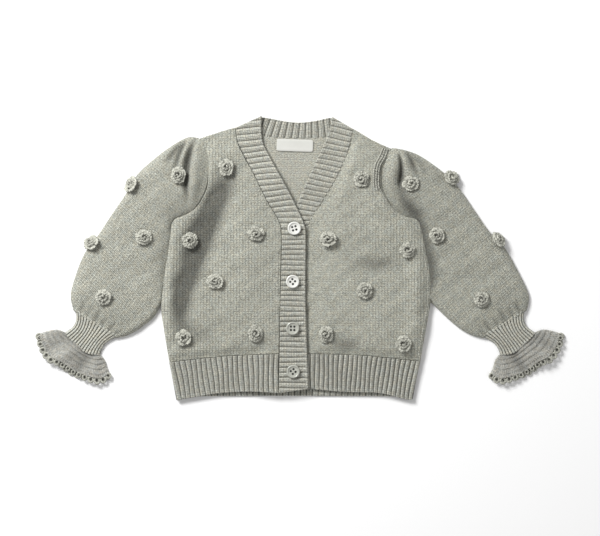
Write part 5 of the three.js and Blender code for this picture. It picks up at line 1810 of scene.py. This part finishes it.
@dataclass
class Stitching:
    """Rows of raised stitches: the shaping beside the armholes and the seams of band and sides."""

    rows: tuple[Row, ...] = (
        Row("front_left_knit", ARMHOLE_LEFT, 3.4, (0.03, 0.44), size=(1.25, 0.8, 0.9)),
        Row("front_left_knit", ARMHOLE_LEFT, 5.9, (0.03, 0.46), size=(1.25, 0.8, 0.9)),
        Row("front_left_knit", ARMHOLE_LEFT, 8.4, (0.03, 0.42), size=(1.25, 0.8, 0.9)),
        # Rows of near-black beads between the rows of raised stitches: painted shadow in the gaps between them
        Row("front_left_knit", ARMHOLE_LEFT, 2.2, (0.03, 0.44), 2.6, (1.25, 0.45, 0.5), 8.0, Finish.GAPS),
        Row("front_left_knit", ARMHOLE_LEFT, 4.65, (0.03, 0.45), 2.6, (1.25, 0.45, 0.5), 8.0, Finish.GAPS),
        Row("front_left_knit", ARMHOLE_LEFT, 7.15, (0.03, 0.42), 2.6, (1.25, 0.45, 0.5), 8.0, Finish.GAPS),
        Row("front_left_knit", ARMHOLE_LEFT, 2.4, (0.46, 0.97), 2.8, (1.2, 0.5, 0.6)),
        Row("front_right_knit", ARMHOLE_RIGHT, -2.2, (0.05, 0.97), 2.8, (1.2, 0.5, 0.6)),
        Row("front_right_knit", BAND_RIGHT_OUTER, 3.4, (0.12, 0.84), 3.0, (0.9, 0.6, 0.7), 60.0),
        Row("front_left_knit", BAND_LEFT_OUTER, -2.6, (0.05, 0.40), 3.0, (0.9, 0.6, 0.7), 60.0),
        Row("front_right_knit", SIDE_RIGHT, -3.0, (0.10, 0.97), 2.6, (1.2, 0.5, 0.6)),
        Row("front_left_knit", SIDE_LEFT, 3.0, (0.10, 0.97), 2.6, (1.2, 0.5, 0.6)),
    )

    def build(self, room: Workroom) -> None:
        """Makes each row."""
        bpy.context.view_layer.update()
        for number, row in enumerate(self.rows, start=1):
            piece = room.make(f"stitches_{number}", self.row(room, row), row.finish)
            room.attach(piece, row.ground)

    def row(self, room: Workroom, row: Row) -> Shell:
        """One row of stitches: flattened balls, half sunk in the cloth's face.

        Args:
            room: Where the cloth pieces are.
            row: The row.

        Returns:
            The stitches, joined.
        """
        curve = Curve(moved(row.outline, row.inset))
        start, end = (share * curve.length for share in row.reach)
        reached = np.arange(start, end, row.pitch)
        places = curve.at(reached / curve.length)
        ahead = curve.at((reached + 0.5) / curve.length) - curve.at((reached - 0.5) / curve.length)
        heading = np.arctan2(ahead[:, 1], ahead[:, 0]) + math.radians(row.slant)
        slope, turn = np.meshgrid(np.linspace(0, np.pi, 5), np.linspace(0, 2 * np.pi, 6, endpoint=False),
                                  indexing="ij")
        half_length, half_width, half_height = row.size
        along, across = half_length * np.cos(slope), half_width * np.sin(slope) * np.cos(turn)
        rise = half_height * np.sin(slope) * np.sin(turn)
        balls = []
        for (x, y), angle in zip(places, heading):
            level = room.top_at(row.ground, x, y)
            if level is None:
                continue
            ball = [x + along * math.cos(angle) - across * math.sin(angle),
                    y + along * math.sin(angle) + across * math.cos(angle), level + 0.1 + rise]
            balls.append(Shell.from_grid(np.stack(ball, axis=-1), closed=True).outwards())
        return Shell.joined(balls)


@dataclass
class Buttons:
    """Four-hole shell buttons with a raised rim round a dished middle."""

    places: tuple[tuple[float, float, Finish], ...] = (
        (-5.7, 29.5, Finish.SHELL_BRIGHT),
        (-7.3, -23.5, Finish.SHELL_BRIGHT),
        (-7.3, -70.0, Finish.SHELL_GREY),
        (-6.8, -113.0, Finish.SHELL_GREY),
    )
    profile: tuple[tuple[float, float], ...] = (
        (0.0, 0.05), (5.2, 0.05), (6.2, 0.4), (6.6, 1.0), (6.7, 1.5), (6.55, 2.1), (6.1, 2.5), (5.6, 2.6),
        (5.2, 2.5), (4.9, 2.1), (4.7, 1.6), (4.2, 1.45), (2.0, 1.4), (0.0, 1.4),
    )
    sides: int = 64
    hole: float = 2.3
    spread: float = 3.4
    turn: float = 15.0
    turn_each: float = 37.0

    def build(self, room: Workroom) -> None:
        """Makes each button: the profile turned round, with four holes drilled through."""
        for number, (x, y, finish) in enumerate(self.places, start=1):
            low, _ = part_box(f"button_{number}")
            mesh = self.drilled(np.array([x, y, low.z / MM]), self.turn + self.turn_each * (number - 1))
            room.dress(f"button_{number}_shell", mesh, finish, [f"button_{number}"])
            # The near-black disc is the thread and painted shade in the holes
            room.make(f"button_{number}_thread", self.thread(x, y, low.z / MM), Finish.THREAD)

    def thread(self, x: float, y: float, bottom: float) -> Shell:
        """The button's thread and painted shade in its holes: a near-black disc inside the button that shows
        through them.
        """
        reach = (self.spread + 0.4) * np.array([0.0, 1.0, 1.0, 0.0])[:, None]
        level = np.array([0.3, 0.3, 0.7, 0.7])[:, None]
        angle = np.linspace(0, 2 * np.pi, 24, endpoint=False)
        grid = np.stack(np.broadcast_arrays(reach * np.cos(angle), reach * np.sin(angle), level), axis=-1)
        return Shell.from_grid(grid + np.array([x, y, bottom]), closed=True).outwards()

    def drilled(self, at: np.ndarray, turn: float) -> bpy.types.Mesh:
        """The button's mesh.

        Args:
            at: Centre of its underside.
            turn: Turn of its holes, in degrees.

        Returns:
            The mesh, in place.
        """
        rows = np.asarray(self.profile)
        angle = np.linspace(0, 2 * np.pi, self.sides, endpoint=False)
        across, along = rows[:, :1] * np.cos(angle), rows[:, :1] * np.sin(angle)
        points = np.stack(np.broadcast_arrays(across, along, rows[:, 1:]), axis=-1) + at
        disc = self.bare_object(points, "disc")
        tilt = math.radians(turn)
        for corner in range(4):
            heading = tilt + math.pi / 4 + corner * math.pi / 2
            centre = at + self.spread / math.sqrt(2) * np.array([math.cos(heading), math.sin(heading), 0])
            ring = np.linspace(0, 2 * np.pi, 16, endpoint=False)
            reach = np.array([0, 1, 1, 0])[:, None] * self.hole / 2
            level = np.array([-1, -1, 4, 4])[:, None]
            drill = np.stack(np.broadcast_arrays(reach * np.cos(ring), reach * np.sin(ring), level), axis=-1)
            cutter = self.bare_object(drill + centre, "drill")
            cut = disc.modifiers.new("hole", "BOOLEAN")
            cut.operation, cut.object, cut.solver = "DIFFERENCE", cutter, "EXACT"
        bpy.context.view_layer.update()
        made = disc.evaluated_get(bpy.context.evaluated_depsgraph_get())
        mesh = bpy.data.meshes.new_from_object(made)
        for spare in [o for o in bpy.data.objects if o.name.startswith(("disc", "drill"))]:
            bpy.data.objects.remove(spare)
        mesh.shade_smooth()
        mesh.set_sharp_from_angle(angle=math.radians(50))
        mesh.materials.clear()
        return mesh

    @staticmethod
    def bare_object(points: np.ndarray, name: str) -> bpy.types.Object:
        """A closed object from rings of points, for cutting."""
        shell = Shell.from_grid(points, closed=True).outwards()
        mesh = bpy.data.meshes.new(name)
        mesh.from_pydata((shell.points * MM).tolist(), [], shell.faces.tolist())
        work = bmesh.new()
        work.from_mesh(mesh)
        bmesh.ops.remove_doubles(work, verts=work.verts, dist=Workroom.MERGE)
        work.to_mesh(mesh)
        work.free()
        made = bpy.data.objects.new(name, mesh)
        bpy.context.scene.collection.objects.link(made)
        return made


@dataclass
class Studio:
    """A pale floor, a soft light from the upper left and a camera straight above."""

    field: float = 0.600
    centre: tuple[float, float] = (0.0, -0.010)
    distance: float = 2.2
    sensor: float = 36.0
    floor_drop: float = 0.0004
    floor_reach: float = 6.0
    key: tuple[tuple[float, float, float], float, float] = ((-0.8, 0.85, 1.05), 0.6, 31.0)
    fill: tuple[tuple[float, float, float], float, float] = ((0.9, -0.5, 1.3), 1.6, 3.5)
    surround: float = 0.36

    def build(self) -> None:
        """Sets up the floor, the lights, the world and the camera."""
        scene = bpy.context.scene
        scene.view_settings.view_transform = "Standard"
        self.floor()
        self.world()
        self.light("key", *self.key)
        self.light("fill", *self.fill)
        camera = bpy.data.cameras.new("camera")
        camera.sensor_width = self.sensor
        camera.lens = self.sensor * self.distance / self.field
        viewer = bpy.data.objects.new("camera", camera)
        viewer.location = (*self.centre, self.distance)
        scene.collection.objects.link(viewer)
        scene.camera = viewer

    def floor(self) -> None:
        """The pale floor, a little under the garment."""
        mesh = bpy.data.meshes.new("floor")
        corners = [(-1, -1), (1, -1), (1, 1), (-1, 1)]
        reach = self.floor_reach
        mesh.from_pydata([(x * reach, y * reach, -self.floor_drop) for x, y in corners], [], [(0, 1, 2, 3)])
        nodes = Nodes("floor")
        nodes.shader.inputs["Base Color"].default_value = (0.97, 0.97, 0.97, 1)
        nodes.shader.inputs["Roughness"].default_value = 1.0
        nodes.shader.inputs["Specular IOR Level"].default_value = 0.0
        mesh.materials.append(nodes.material)
        floor = bpy.data.objects.new("floor", mesh)
        bpy.context.scene.collection.objects.link(floor)

    def world(self) -> None:
        """A plain bright surround."""
        world = bpy.data.worlds.new("surround")
        world.use_nodes = True
        background = world.node_tree.nodes["Background"]
        background.inputs["Color"].default_value = (1, 1, 1, 1)
        background.inputs["Strength"].default_value = self.surround
        bpy.context.scene.world = world

    def light(self, name: str, at: tuple[float, float, float], size: float, power: float) -> None:
        """Hangs a square soft light that faces the garment."""
        lamp = bpy.data.lights.new(name, "AREA")
        lamp.size, lamp.energy = size, power
        hung = bpy.data.objects.new(name, lamp)
        hung.location = at
        hung.rotation_euler = (-Vector(at)).to_track_quat("-Z", "Y").to_euler()
        bpy.context.scene.collection.objects.link(hung)


def main() -> None:
    """Builds the studio and then the cardigan's pieces in order."""
    logging.basicConfig(level=logging.INFO, format="%(message)s")
    Studio().build()
    room = Workroom()
    for part in (Back(), Fronts(), Bands(), Sleeves(), Wrists(), Rosettes(), Stitching(), Buttons()):
        part.build(room)
        log.info("%s done", type(part).__name__)


if __name__ == "__main__":
    main()
